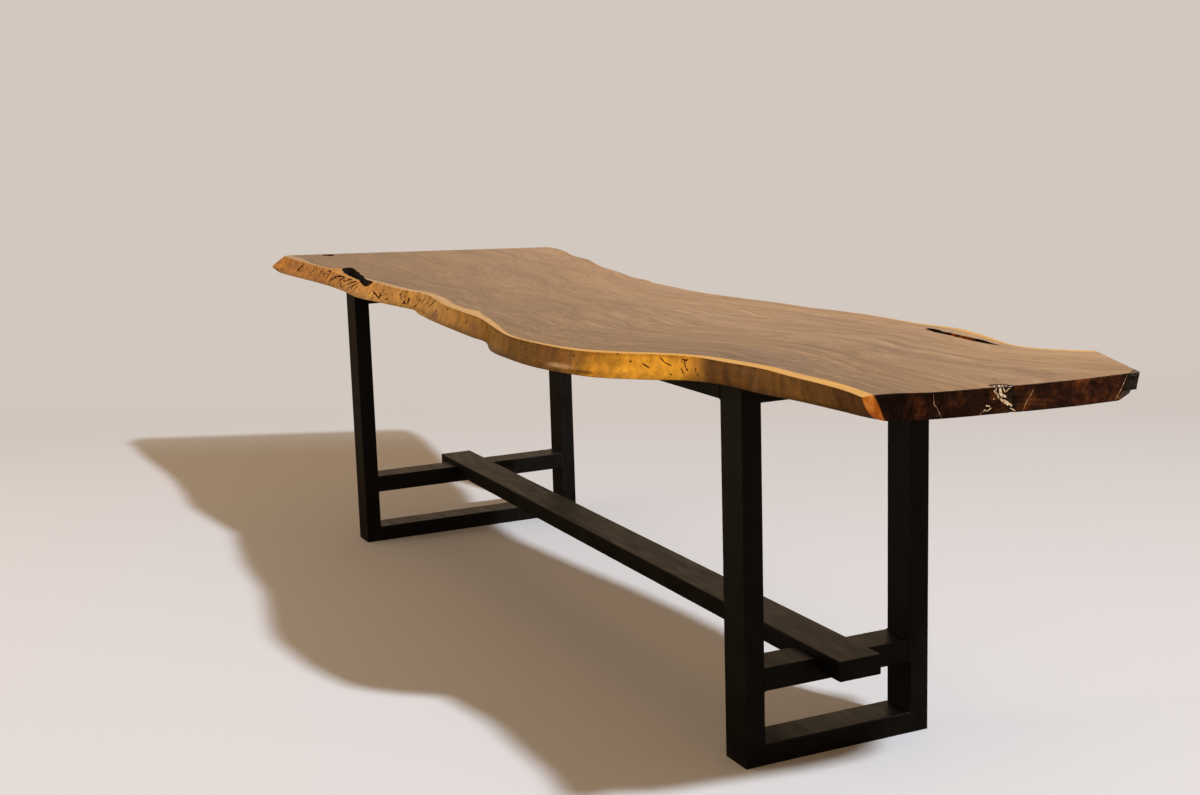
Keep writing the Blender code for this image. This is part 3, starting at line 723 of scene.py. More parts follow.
@dataclass(frozen=True)
class PaleFloor(Finish):
    """A plain painted studio floor, which fades into the plain backdrop far from the table."""

    tone: str = "#d3dae4"
    far_tone: str = "#d2c8bf"
    mirrored_tone: str = "#665b51"
    away: Triple = (-0.906, 0.423, 0.0)
    fade_from: float = 2.3
    fade_to: float = 4.3
    round_from: float = 4.4
    round_to: float = 6.6

    def paint(self, tree: NodeTree, shader: Node) -> None:
        """Mix the painted floor with the backdrop's colour by distance, and keep it dim in mirrored light.

        Args:
            tree: The material's node tree.
            shader: Its Principled shader.
        """
        shader.inputs["Base Color"].default_value = colour(self.tone)
        place = add_node(tree, "TexCoord").outputs["Object"]
        reach = add_node(tree, "VectorMath", {0: place, 1: self.away}, operation="DOT_PRODUCT")
        fade = add_node(tree, "MapRange", {0: reach.outputs["Value"], 1: self.fade_from, 2: self.fade_to},
                        interpolation_type="SMOOTHSTEP")
        around = add_node(tree, "VectorMath", {0: place}, operation="LENGTH")
        rim = add_node(tree, "MapRange", {0: around.outputs["Value"], 1: self.round_from, 2: self.round_to},
                       interpolation_type="SMOOTHSTEP")
        far = add_node(tree, "Math", {0: fade.outputs[0], 1: rim.outputs[0]}, operation="MAXIMUM")
        glow = add_node(tree, "Emission", {"Color": colour(self.far_tone), "Strength": 1.0})
        mixed = add_node(tree, "MixShader", {0: far.outputs[0], 1: shader.outputs[0], 2: glow.outputs[0]})
        dark = add_node(tree, "BsdfDiffuse", {"Color": colour(self.mirrored_tone)})
        mirrored = add_node(tree, "LightPath").outputs["Is Glossy Ray"]
        seen = add_node(tree, "MixShader", {0: mirrored, 1: mixed.outputs[0], 2: dark.outputs[0]})
        tree.links.new(seen.outputs[0], tree.nodes["Material Output"].inputs["Surface"])


@dataclass
class Slab:
    """The board: one slab with two live edges, its natural hollows, and pockets for the cast fills.

    Outlines are in shares of the half length and half width. Live edges give, for each point, how far
    along and across it is, and how far its foot stands out, in shares of the thickness.
    """

    half_length: float = HALF_LENGTH
    half_width: float = 0.5905
    belly: float = 0.004
    # A foot that stands out flares by this power, and one that draws in has a slant and a sharp curl
    foot_curve: float = 2.5
    slant_share: float = 0.55
    curl_share: float = 0.45
    curl_power: int = 8
    # The flange at the front edge's far tip: where it ends, its heights, and how far it is rounded below
    flange_span: Pair = (-0.985, -0.93)
    flange_top: float = 0.7
    flange_foot: float = 0.3
    flange_round: float = 0.4
    round_top: Points = ((-1.0, 0.0050), (-0.25, 0.0045), (0.10, 0.0016), (1.0, 0.0016))
    round_foot: float = 0.0020
    # Lumps and dents of the live edges, in metres, and the levels at the foot and the top that have none
    lump_depth: float = 0.0045
    lump_size: float = 0.070
    dent_size: float = 0.016
    lump_share: float = 0.7
    dent_share: float = 0.3
    calm_foot: float = 0.12
    calm_top: float = 0.10
    columns: int = 900
    cut_columns: int = 62
    sharp_degrees: float = 32.0
    # The underside's flat middle, in shares of its outline
    middle_along: float = 0.965
    middle_across: float = 0.78
    front_edge: Points = (
        (-1.000, -0.690, 0.75), (-0.985, -0.746, 0.9), (-0.920, -0.756, 0.8), (-0.840, -0.760, 0.7),
        (-0.740, -0.761, 0.5), (-0.640, -0.759, 0.4), (-0.520, -0.761, 0.5), (-0.410, -0.765, 0.8),
        (-0.330, -0.762, 0.6), (-0.240, -0.755, 0.3), (-0.180, -0.726, 0.4), (-0.130, -0.732, 0.7),
        (-0.060, -0.772, 0.6), (0.010, -0.813, 0.4), (0.100, -0.834, 0.4), (0.165, -0.848, 0.4),
        (0.220, -0.882, 0.1), (0.300, -0.938, 0.4), (0.370, -0.973, 0.25), (0.450, -0.955, 0.4),
        (0.520, -0.905, 0.4), (0.565, -0.809, 0.8), (0.610, -0.665, 0.9), (0.645, -0.594, 0.2),
        (0.700, -0.557, -0.1), (0.760, -0.524, 0.1), (0.820, -0.527, -0.3), (0.890, -0.525, -0.5),
        (0.930, -0.536, -0.7), (0.960, -0.556, -1.15),
    )
    back_edge: Points = (
        (0.870, 0.745, 0.0), (0.852, 0.692, 0.2), (0.828, 0.630, 0.3), (0.800, 0.594, 0.3),
        (0.772, 0.602, 0.2), (0.730, 0.645, 0.0), (0.690, 0.683, -0.1), (0.645, 0.712, -0.2),
        (0.610, 0.699, 0.1), (0.570, 0.674, 0.3), (0.510, 0.673, 0.2), (0.450, 0.662, 0.1),
        (0.395, 0.628, 0.3), (0.350, 0.598, 0.4), (0.290, 0.580, 0.3), (0.210, 0.538, 0.4),
        (0.140, 0.504, 0.5), (0.080, 0.492, 0.4), (0.000, 0.504, 0.3), (-0.055, 0.513, 0.4),
        (-0.100, 0.544, 0.2), (-0.160, 0.558, 0.4), (-0.250, 0.623, 0.5), (-0.340, 0.675, 0.3),
        (-0.420, 0.747, 0.2), (-0.490, 0.816, 0.4), (-0.580, 0.857, 0.5), (-0.660, 0.931, 0.2),
        (-0.720, 0.978, 0.0), (-0.760, 0.994, -0.1), (-0.787, 0.984, 0.0),
    )
    near_end: Points = (
        (-0.556, 0.960), (-0.492, 0.957), (-0.422, 0.960), (-0.314, 0.976), (-0.195, 0.983),
        (-0.056, 0.988), (0.083, 0.995), (0.261, 1.000), (0.536, 1.000),
    )
    near_tip: Pair = (1.000, 0.536)
    # Heights of the outlines that the wall passes through, in shares of the thickness
    levels: Sequence[float] = (
        0.0, 0.008, 0.035, 0.09, 0.15, 0.21, 0.28, 0.35, 0.42, 0.49, 0.56, 0.63, 0.70, 0.77, 0.84, 0.90,
        0.95, 0.972, 0.988, 1.0,
    )
    # Where rows of the top face lie, in shares of the way across
    rows: Sequence[float] = (
        0.0, 0.004, 0.010, 0.017, 0.024, 0.031, 0.038, 0.046, 0.054, 0.063, 0.073, 0.085, 0.10, 0.13, 0.17,
        0.22, 0.28, 0.34, 0.40, 0.46, 0.52, 0.58, 0.64, 0.70, 0.76, 0.81, 0.85, 0.885, 0.91, 0.93, 0.945,
        0.957, 0.967, 0.976, 0.984, 0.991, 0.996, 1.0,
    )
    # How much wider sapwood is at the foot, how far the log's grain spreads across in half widths, and
    # sapwood's width on the top: along, in shares of the half length, and width in millimetres
    sap_flare: float = 0.025
    log_spread: float = 1.3
    front_sap: Points = (
        (-1.00, 30), (-0.90, 42), (-0.80, 18), (-0.65, 10), (-0.50, 14), (-0.40, 26), (-0.28, 28),
        (-0.13, 28), (-0.07, 35), (0.00, 32), (0.06, 34), (0.105, 46), (0.155, 24), (0.26, 20), (0.31, 13),
        (0.41, 11), (0.48, 18), (0.54, 28), (0.63, 24), (0.69, 35), (0.79, 34), (0.87, 36), (0.94, 32),
        (1.00, 32),
    )
    back_sap: Points = (
        (-1.00, 3), (0.40, 3), (0.55, 8), (0.65, 22), (0.71, 17), (0.77, 11), (0.80, 10), (0.83, 14),
        (0.86, 22), (1.00, 22),
    )
    # The inner line of the worn lip in front of the hollow: along and across, in shares of the half sizes
    lip_rim: Points = (
        (-0.720, -0.800), (-0.662, -0.655), (-0.610, -0.705), (-0.520, -0.732), (-0.465, -0.749),
        (-0.420, -0.765), (-0.400, -0.800),
    )
    # How far that lip is worn down: along, and depth in millimetres; and how far down and in the wear fades
    lip_wear: Points = ((-0.70, 0), (-0.64, 3), (-0.60, 6), (-0.55, 10), (-0.48, 12), (-0.44, 12),
                        (-0.40, 0))
    wear_fade: float = 0.026
    wear_spread: float = 0.3
    worn_reach: float = 0.020
    # Cutters stand clear of the slab by this, and the pockets' ends lie at these shares of the thickness
    clearance: float = 0.01
    pocket_span: Pair = (1.2, -0.2)
    pocket_gap: float = 0.0005
    # Cast knot in the near end, and cast corner at its back tip: sizes in metres
    knot_place: float = -0.041
    knot_width: float = 0.046
    knot_reach: float = 0.034
    knot_tail_width: float = 0.014
    knot_tail_reach: float = 0.012
    knot_drift: float = 0.020
    knot_outside: float = 0.012
    knot_shape: Points = ((-0.5, 0.0), (0.5, 0.0), (0.4, 0.6), (0.0, 1.0), (-0.4, 0.7))
    corner_along_end: float = 0.031
    corner_along_cut: float = 0.036
    corner_spread: float = 0.47
    # Natural openings: shares of the depth and of the outline, from the bottom up, and sizes of crumbs
    cavity_rings: Points = ((1.0, 0.80), (0.75, 0.90), (0.5, 0.95), (0.25, 0.98), (0.08, 1.0), (-0.25, 1.0))
    crumb_sizes: Pair = (0.04, 0.03)
    crumb_stretch: float = 2.5
    hollow_depth: float = 0.034
    hollow_ragged: float = 0.0050
    hollow_rim: Points = (
        (-0.662, -0.655), (-0.610, -0.705), (-0.520, -0.735), (-0.465, -0.752), (-0.420, -0.772),
        (-0.392, -0.761), (-0.440, -0.744), (-0.510, -0.694), (-0.585, -0.642), (-0.642, -0.605),
        (-0.660, -0.621),
    )
    crack_depth: float = 0.040
    crack_ragged: float = 0.0025
    crack_rim: Points = (
        (0.621, 0.588), (0.632, 0.580), (0.650, 0.564), (0.665, 0.561), (0.680, 0.557), (0.703, 0.546),
        (0.726, 0.535), (0.745, 0.532), (0.766, 0.533), (0.779, 0.546), (0.755, 0.563), (0.730, 0.582),
        (0.710, 0.587), (0.690, 0.592), (0.667, 0.603), (0.655, 0.603), (0.634, 0.620), (0.619, 0.618),
    )
    far_knot_depth: float = 0.014
    far_knot_ragged: float = 0.002
    far_knot_rim: Points = (
        (-0.959, -0.478), (-0.946, -0.504), (-0.922, -0.494), (-0.916, -0.462), (-0.932, -0.432),
        (-0.956, -0.442),
    )
    # The lip that opens the hollow: its outer limit, its floor's rise inwards in metres, and for each
    # profile how far along it is, its depth below the top in millimetres and how far in it reaches
    lip_outside: float = -0.90
    lip_rise: Triple = (-0.004, -0.001, 0.002)
    lip: Points = (
        (-0.510, -3, -0.736), (-0.490, 9, -0.740), (-0.467, 13, -0.748), (-0.449, 18, -0.752),
        (-0.431, 22, -0.756), (-0.414, 23, -0.758), (-0.404, 19, -0.758), (-0.392, 12, -0.758),
        (-0.385, 4, -0.758), (-0.381, -3, -0.758),
    )
    # Short beetle tracks strewn over the far half of the front edge: ranges, with widths in millimetres
    speck_seed: int = 11
    speck_count: int = 46
    speck_along: Pair = (-0.97, -0.04)
    speck_level: Pair = (0.12, 0.88)
    speck_lean: Pair = (-0.012, 0.006)
    speck_length: Pair = (0.05, 0.22)
    speck_width: Pair = (1.6, 3.4)
    speck_foot: float = 0.06
    # Galleries are wider in the soft, thick sapwood towards the far end, and the shortest are round holes
    track_swell: Points = ((-1.0, 2.6), (-0.45, 2.3), (0.0, 1.9), (0.45, 1.4), (0.6, 1.1))
    track_depth: float = 0.0022
    track_step: float = 0.005
    track_least: float = 0.003
    hole_half: float = 0.0025
    track_sway: float = 0.0016
    sway_length: float = 0.02
    front_out: Triple = (0.25, -0.97, 0.0)
    # A groove's width at its ends, in shares of its width, and the share of its length that is cut blunt
    groove_tip: float = 0.35
    groove_blunt: float = 0.04
    # Beetle tracks in the front edge: along and level at both ends, and width in millimetres
    tracks: Points = (
        (-0.8205, 0.85, -0.8511, 0.38, 5), (-0.744, 0.98, -0.748, 0.55, 4), (-0.695, 0.78, -0.703, 0.60, 4),
        (-0.654, 0.95, -0.635, 0.95, 4), (-0.372, 0.50, -0.323, 0.18, 6), (-0.337, 0.53, -0.323, 0.18, 6),
        (-0.300, 0.25, -0.288, 0.28, 7), (-0.240, 0.80, -0.2465, 0.60, 5), (-0.220, 1.00, -0.225, 0.85, 4),
        (-0.228, 0.38, -0.217, 0.23, 5), (-0.210, 0.60, -0.212, 0.25, 6), (-0.169, 0.65, -0.1755, 0.53, 4),
        (-0.156, 0.65, -0.163, 0.40, 5), (-0.180, 0.30, -0.189, 0.08, 5), (-0.114, 1.00, -0.125, 0.73, 4),
        (-0.075, 1.00, -0.114, 0.43, 5), (0.024, 0.93, 0.017, 0.80, 4), (0.115, 0.62, 0.112, 0.45, 4),
        (0.067, 0.38, 0.067, 0.33, 3), (0.245, 0.50, 0.245, 0.40, 3), (0.417, 0.65, 0.417, 0.60, 3),
        (0.427, 0.35, 0.424, 0.28, 3), (0.4305, 0.85, 0.427, 0.78, 3), (0.520, 0.80, 0.518, 0.75, 4),
        (0.527, 0.45, 0.527, 0.40, 3), (0.571, 0.98, 0.569, 0.95, 3), (0.582, 0.70, 0.584, 0.65, 4),
        (0.594, 0.60, 0.603, 0.43, 4), (0.607, 0.88, 0.613, 0.70, 3), (0.613, 0.70, 0.622, 0.55, 3),
        (0.631, 0.85, 0.637, 0.80, 4), (0.638, 0.88, 0.635, 0.80, 3), (0.634, 0.78, 0.638, 0.48, 3),
        (0.638, 0.48, 0.641, 0.40, 4), (0.632, 0.50, 0.638, 0.23, 3), (0.651, 0.55, 0.651, 0.43, 3),
        (0.653, 0.33, 0.655, 0.20, 3), (0.669, 0.38, 0.671, 0.30, 3), (0.624, 0.25, 0.627, 0.20, 3),
        (0.747, 0.98, 0.750, 0.95, 3), (0.705, 0.25, 0.705, 0.23, 3), (0.812, 0.30, 0.815, 0.30, 3),
        (0.923, 0.60, 0.924, 0.60, 3), (0.850, 0.73, 0.850, 0.68, 3), (-0.565, 0.38, -0.545, 0.12, 5),
        (-0.530, 0.73, -0.506, 1.00, 4), (-0.510, 0.53, -0.477, 0.90, 5), (-0.491, 0.28, -0.467, 0.73, 4),
        (-0.596, 0.73, -0.550, 1.00, 4), (-0.626, 0.30, -0.601, 0.78, 4), (-0.658, 0.33, -0.640, 0.85, 4),
        (-0.548, 0.45, -0.520, 0.85, 3), (-0.525, 0.35, -0.495, 0.75, 3), (-0.505, 0.20, -0.480, 0.55, 3),
        (-0.575, 0.55, -0.545, 0.92, 3), (-0.610, 0.50, -0.585, 0.90, 3), (-0.585, 0.25, -0.565, 0.60, 3),
        (-0.470, 0.30, -0.455, 0.50, 3), (-0.640, 0.20, -0.620, 0.50, 3), (-0.680, 0.40, -0.665, 0.75, 3),
        (-0.710, 0.30, -0.700, 0.60, 3), (-0.760, 0.35, -0.745, 0.70, 3), (-0.790, 0.50, -0.785, 0.80, 3),
    )
    check_depth: float = 0.0008
    end_out: Triple = (1.0, -0.05, 0.0)
    # Filled checks in the near end: width in millimetres, then places across in metres and levels
    checks: Sequence[Sequence[Any]] = (
        (1.2, (-0.1790, 0.93), (-0.1783, 0.70), (-0.1768, 0.52), (-0.1722, 0.46), (-0.1700, 0.34),
         (-0.1655, 0.20), (-0.1607, 0.04)),
        (0.9, (0.0430, 0.80), (0.0370, 0.60), (0.0300, 0.42), (0.0243, 0.24), (0.0205, 0.05)),
        (3.6, (-0.0637, 0.36), (-0.0590, 0.33), (-0.0545, 0.31)),
        (2.4, (-0.0680, 0.22), (-0.0612, 0.15), (-0.0498, 0.27)),
        (1.0, (-0.0772, 0.03), (-0.0720, 0.12), (-0.0660, 0.18)),
        (2.4, (-0.0480, 0.56), (-0.0455, 0.57), (-0.0430, 0.57)),
        (1.1, (0.2810, 0.95), (0.2700, 0.60), (0.2620, 0.36), (0.2500, 0.06)),
    )
    sleeve_gap: float = 0.0006
    hole_sides: int = 20
    # Worked out from the frame and the sizes above
    underside: float = field(init=False)
    top: float = field(init=False)
    thickness: float = field(init=False)
    front: np.ndarray = field(init=False)
    back: np.ndarray = field(init=False)
    rings: list[np.ndarray] = field(init=False)

    def __post_init__(self) -> None:
        """Read the slab's heights from the frame, and draw its two edges from far to near."""
        low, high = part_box("slab_top")
        self.underside = low.z
        self.top = high.z
        self.thickness = high.z - low.z
        scale = np.array([self.half_length, self.half_width])
        self.front = spaced_evenly(smooth_curve(self.front_edge), self.columns, scale)
        live = self.columns - self.cut_columns
        self.back = spaced_evenly(smooth_curve(self.back_edge)[::-1], live, scale)
        self.rings = [self.outline(level) for level in self.levels]

    def edge_line(self, samples: np.ndarray, side: int, level: float) -> np.ndarray:
        """Return a live edge's points at a level.

        Args:
            samples: The edge's along, across and lean.
            side: -1 for the front and 1 for the back.
            level: A share of the thickness.

        Returns:
            Points, one row of x and y each.
        """
        flare = (1 - level) ** self.foot_curve
        under = self.slant_share * (1 - level) + self.curl_share * (1 - level) ** self.curl_power
        shape = np.where(samples[:, 2] > 0, flare, under)
        # The front edge's far tip is a flange, which slants out to a beak and is rounded below
        below = max(0.0, 1 - level / self.flange_foot)
        flange = min(1.0, (1 - level) / self.flange_top) * (1 - self.flange_round * below ** 2)
        at_tip = np.interp(samples[:, 0], self.flange_span, (1.0, 0.0)) if side < 0 else 0.0
        shape = shape + (flange - shape) * at_tip
        out = samples[:, 2] * self.thickness * shape + self.belly * 4 * level * (1 - level)
        across = samples[:, 1] * self.half_width + side * out
        return np.stack([samples[:, 0] * self.half_length, across], axis=1)

    def sides(self, level: float) -> tuple[np.ndarray, np.ndarray, np.ndarray, np.ndarray]:
        """Return the front, back, near and far sides at a level, from far to near or from front to back.

        Args:
            level: A share of the thickness.

        Returns:
            Four arrays of x and y. The back has the near end's short cut as its last stretch.
        """
        rows = np.asarray(self.rows)[:, None]
        front = self.edge_line(self.front, -1, level)
        live = self.edge_line(self.back, 1, level)
        tip = np.array(self.near_tip) * (self.half_length, self.half_width)
        share = np.linspace(0, 1, self.cut_columns + 1)[1:, None]
        back = np.vstack([live, live[-1] + (tip - live[-1]) * share])
        end = np.asarray(self.near_end)
        y = front[-1, 1] + (tip[1] - front[-1, 1]) * rows[:, 0]
        x = np.interp(y, end[:, 0] * self.half_width, end[:, 1] * self.half_length)
        near = np.stack([x, y], axis=1)
        near[0] = front[-1]
        far = front[0] + (back[0] - front[0]) * rows
        return front, back, near, far

    def outline(self, level: float) -> np.ndarray:
        """Return the closed outline at a level, eased at the top and the foot and lumpy where it is live.

        Args:
            level: A share of the thickness.

        Returns:
            Points, one row of x, y and z each, counter-clockwise.
        """
        front, back, near, far = self.sides(level)
        loop = np.vstack([front, near[1:-1], back[::-1], far[::-1][1:-1]])
        run = np.roll(loop, -1, axis=0) - np.roll(loop, 1, axis=0)
        out = np.stack([run[:, 1], -run[:, 0]], axis=1)
        out /= np.linalg.norm(out, axis=1)[:, None]
        z = self.underside + level * self.thickness
        inset = np.zeros(len(loop))
        top_radius = np.interp(loop[:, 0] / self.half_length, *np.asarray(self.round_top).T)
        foot_radius = np.full(len(loop), self.round_foot)
        for radius, depth in ((top_radius, self.top - z), (foot_radius, z - self.underside)):
            short = np.clip(radius - depth, 0, None)
            inset += radius - np.sqrt(radius ** 2 - short ** 2)
        inset += self.lumps(np.column_stack([loop, np.full(len(loop), z)]), level)
        ring = np.column_stack([loop - out * inset[:, None], np.full(len(loop), z)])
        return self.soften_lip(ring)

    def lip_depth(self, points: np.ndarray) -> np.ndarray:
        """Return how far in from the front edge points lie, in shares of the hollow's lip.

        Args:
            points: Points of the slab.

        Returns:
            A share for each point, which is 1 or more outside the lip.
        """
        least = 0.005
        outside = 9.0
        along = points[:, 0] / self.half_length
        edge = np.interp(along, self.front[:, 0], self.front[:, 1])
        rim = np.interp(along, *np.asarray(self.lip_rim).T, left=-outside, right=-outside)
        inward = (points[:, 1] / self.half_width - edge) / np.maximum(rim - edge, least)
        return np.where(rim > edge + least, inward, outside)

    def soften_lip(self, points: np.ndarray) -> np.ndarray:
        """Wear the slab down in front of the hollow.

        Args:
            points: Points of the slab.

        Returns:
            The points, with those near the lip's top lowered.
        """
        near_top = np.clip((points[:, 2] - self.top + self.wear_fade) / self.wear_fade, 0, 1)
        on_lip = np.clip((1 + self.wear_spread - self.lip_depth(points)) / self.wear_spread, 0, 1)
        worn = np.interp(points[:, 0] / self.half_length, *np.asarray(self.lip_wear).T) / 1000
        moved = points.copy()
        moved[:, 2] -= worn * near_top * on_lip
        return moved

    def lumps(self, loop: np.ndarray, level: float) -> np.ndarray:
        """Return how far the live edges draw in, in lumps and dents, and not at all at the rims.

        Args:
            loop: The outline's points.
            level: Its share of the thickness.

        Returns:
            A distance for each point, in metres.
        """
        fade = min(1.0, level / self.calm_foot) * min(1.0, (1 - level) / self.calm_top)
        large = 0.5 + 0.5 * rough(loop * (1, 1, 1.4), self.lump_size, 3)
        small = 0.5 + 0.5 * rough(loop * (1, 1, 0.7), self.dent_size, 2)
        depth = self.lump_depth * fade * (self.lump_share * large + self.dent_share * small)
        kinds = self.loop_kinds()
        return np.where(kinds == Face.LIVE.value, np.clip(depth, 0, None), 0.0)

    def loop_kinds(self) -> np.ndarray:
        """Tell what each stretch of the outline is, by the point that it starts from.

        Returns:
            A Face's value for each point.
        """
        live = np.full(self.columns, Face.LIVE.value)
        ends = np.full(len(self.rows) - 2, Face.END.value)
        back = np.full(self.columns, Face.LIVE.value)
        back[:self.cut_columns] = Face.END.value
        kinds = np.concatenate([live, ends, back, ends])
        kinds[self.columns - 1] = Face.END.value
        kinds[self.columns + len(ends) + self.columns - 1] = Face.END.value
        return kinds

    def shell(self) -> Mesh:
        """Make the closed slab before its hollows are cut: walls, a gridded top and a flat underside.

        Returns:
            The mesh, with a material index for each face.
        """
        rings = self.rings
        loop = len(rings[0])
        verts = np.vstack(rings + [self.underside_loop()])
        kinds = self.loop_kinds()
        faces: list[Sequence[int]] = []
        marks: list[int] = []
        inner = len(rings) * loop
        lows = [inner] + [r * loop for r in range(len(rings) - 1)]
        highs = [0] + [r * loop for r in range(1, len(rings))]
        for low, high in zip(lows, highs):
            for i in range(loop):
                j = (i + 1) % loop
                faces.append((low + i, low + j, high + j, high + i))
                marks.append(Face.SAWN.value if low == inner else int(kinds[i]))
        index, filling = self.top_grid(rings[-1], inner - loop, len(verts))
        places = np.vstack([verts, filling])
        worn = (self.lip_depth(places) < 1.0) & (places[:, 2] > self.top - self.worn_reach)
        for i in range(self.columns - 1):
            for j in range(len(self.rows) - 1):
                face = (index[i, j], index[i + 1, j], index[i + 1, j + 1], index[i, j + 1])
                faces.append(face)
                marks.append(Face.LIVE.value if worn[list(face)].all() else Face.SAWN.value)
        faces.append(tuple(range(inner + loop - 1, inner - 1, -1)))
        marks.append(Face.SAWN.value)
        mesh = bpy.data.meshes.new("slab_shell")
        mesh.from_pydata(places.tolist(), [], [tuple(map(int, face)) for face in faces])
        mesh.polygons.foreach_set("material_index", np.array(marks, np.int32))
        mesh.update()
        return mesh

    def underside_loop(self) -> np.ndarray:
        """Draw the underside's outline in, so that its sapwood stays along the edges.

        Returns:
            Points, one row of x, y and z each.
        """
        loop = self.rings[0].copy()
        n = self.columns
        m = len(self.rows)
        back = loop[n + m - 2:2 * n + m - 2][::-1]
        middle = np.interp(loop[:, 0], loop[:n, 0], (loop[:n, 1] + back[:, 1]) / 2)
        loop[:, 0] *= self.middle_along
        loop[:, 1] = middle + self.middle_across * (loop[:, 1] - middle)
        return loop

    def top_grid(self, rim: np.ndarray, first: int, after: int) -> tuple[np.ndarray, np.ndarray]:
        """Fill the top outline with rows that follow both live edges.

        Args:
            rim: The top outline's points.
            first: The number of its first vertex.
            after: The number that new vertices start from.

        Returns:
            Vertex numbers by column and row, and the new vertices.
        """
        n = self.columns
        m = len(self.rows)
        index = np.zeros((n, m), int)
        index[:, 0] = first + np.arange(n)
        index[-1, 1:-1] = first + n + np.arange(m - 2)
        index[:, -1] = first + n + m - 2 + np.arange(n)[::-1]
        index[0, 1:-1] = first + 2 * n + m - 2 + np.arange(m - 2)[::-1]
        front = rim[:n]
        near = rim[n - 1:n + m - 1]
        back = rim[n + m - 2:2 * n + m - 2][::-1]
        far = np.vstack([rim[:1], rim[2 * n + m - 2:][::-1], back[:1]])
        s = np.linspace(0, 1, n)[:, None, None]
        t = np.asarray(self.rows)[None, :, None]
        ruled = (1 - t) * front[:, None] + t * back[:, None]
        cross = (1 - s) * far[None] + s * near[None]
        corners = (1 - s) * ((1 - t) * front[0] + t * back[0]) + s * ((1 - t) * front[-1] + t * back[-1])
        index[1:-1, 1:-1] = after + np.arange((n - 2) * (m - 2)).reshape(n - 2, m - 2)
        inner = (ruled + cross - corners)[1:-1, 1:-1].reshape(-1, 3)
        inner[:, 2] = self.top
        return index, self.soften_lip(inner)

    def on_front(self, along: float, level: float) -> Vector:
        """Find a point of the front edge's surface.

        Args:
            along: A share of the half length.
            level: A share of the thickness.

        Returns:
            The point.
        """
        column = np.interp(along, self.front[:, 0], np.arange(self.columns))
        ring = np.interp(level, self.levels, np.arange(len(self.levels)))
        c = min(int(column), self.columns - 2)
        r = min(int(ring), len(self.levels) - 2)
        lines = [line[c] + (line[c + 1] - line[c]) * (column - c) for line in self.rings[r:r + 2]]
        return Vector(lines[0] + (lines[1] - lines[0]) * (ring - r))

    def on_end(self, y: float, level: float) -> Vector:
        """Find a point of the near end.

        Args:
            y: Its place across, in metres.
            level: A share of the thickness.

        Returns:
            The point.
        """
        end = np.asarray(self.near_end)
        x = np.interp(y, end[:, 0] * self.half_width, end[:, 1] * self.half_length)
        return Vector((x, y, self.underside + level * self.thickness))

    def at_depth(self, points: Points, depth: float) -> np.ndarray:
        """Lift an outline to a depth below the top, in metres."""
        flat = np.asarray(points, float)
        return np.column_stack([flat, np.full(len(flat), self.top - depth)])

    def cavity(self, rim: Points, depth: float, ragged: float) -> list[np.ndarray]:
        """Return the rings of a cutter for a natural opening, with crumbling walls.

        Args:
            rim: The opening's outline in shares of the half sizes.
            depth: How deep it goes, in metres.
            ragged: How far its walls stray, in metres.

        Returns:
            Rings from the bottom up.
        """
        scale = np.array([self.half_length, self.half_width])
        line = smooth_curve([*rim, rim[0]], 8)[:-1]
        closed = line * scale
        middle = line.mean(axis=0) * scale
        rings = []
        for share, size in self.cavity_rings:
            ring = self.at_depth(middle + (closed - middle) * size, depth * share)
            ring[:, 0] += self.crumb_stretch * ragged * rough(ring * (0.5, 1, 1), self.crumb_sizes[0])
            ring[:, 1] += ragged * rough(ring * (0.5, 1, 1) + 5.0, self.crumb_sizes[1])
            rings.append(ring)
        return rings

    def mouth(self) -> list[np.ndarray]:
        """Draw the cutter that opens the hollow through the front edge, over a sloping lip.

        Returns:
            Rings along the edge.
        """
        rings = []
        for along, depth, inner in self.lip:
            floor = self.top - depth / 1000
            outside = self.lip_outside * self.half_width
            inside = inner * self.half_width
            mid = (outside + inside) / 2
            x = along * self.half_length
            over = self.top + self.clearance
            profile = [(y, floor + rise) for y, rise in zip((outside, mid, inside), self.lip_rise)]
            profile += [(inside, over), (outside, over)]
            rings.append(np.array([(x, y, z) for y, z in profile]))
        return rings

    def knot_pocket(self) -> list[np.ndarray]:
        """Draw the cutter for the cast knot, which tapers towards the underside.

        Returns:
            Rings from the bottom up.
        """
        place = self.knot_place * self.half_width
        slope = self.on_end(place + self.knot_width, 0).x - self.on_end(place - self.knot_width, 0).x
        slope /= 2 * self.knot_width
        rings = []
        for share in self.pocket_span:
            width = self.knot_width + (self.knot_tail_width - self.knot_width) * share + 2 * self.pocket_gap
            reach = self.knot_reach + (self.knot_tail_reach - self.knot_reach) * share + self.pocket_gap
            ring = []
            for across, inward in self.knot_shape:
                y = place + self.knot_drift * share + across * width
                out = self.knot_outside if inward == 0 else 0.0
                ring.append((self.on_end(place, 0).x + slope * (y - place) - inward * reach + out, y))
            rings.append(self.at_depth(ring, share * self.thickness))
        return rings

    def corner_pocket(self) -> list[np.ndarray]:
        """Draw the cutter for the cast corner, which leans in towards the underside.

        Returns:
            Rings from the bottom up.
        """
        tip = Vector(self.near_tip) * Vector((self.half_length, self.half_width))
        cut_end = Vector(self.back_edge[0][:2]) * Vector((self.half_length, self.half_width))
        along_cut = (cut_end - tip).normalized()
        rings = []
        for share in self.pocket_span:
            spread = self.corner_spread * share * self.thickness + self.pocket_gap
            on_end = tip + Vector((0, -1)) * (self.corner_along_end + spread)
            on_cut = tip + along_cut * (self.corner_along_cut + spread)
            out = Vector((self.clearance, self.clearance))
            points = [on_end, on_end + Vector((self.clearance, 0)), tip + out, on_cut + out, on_cut]
            rings.append(self.at_depth(points, share * self.thickness))
        return rings

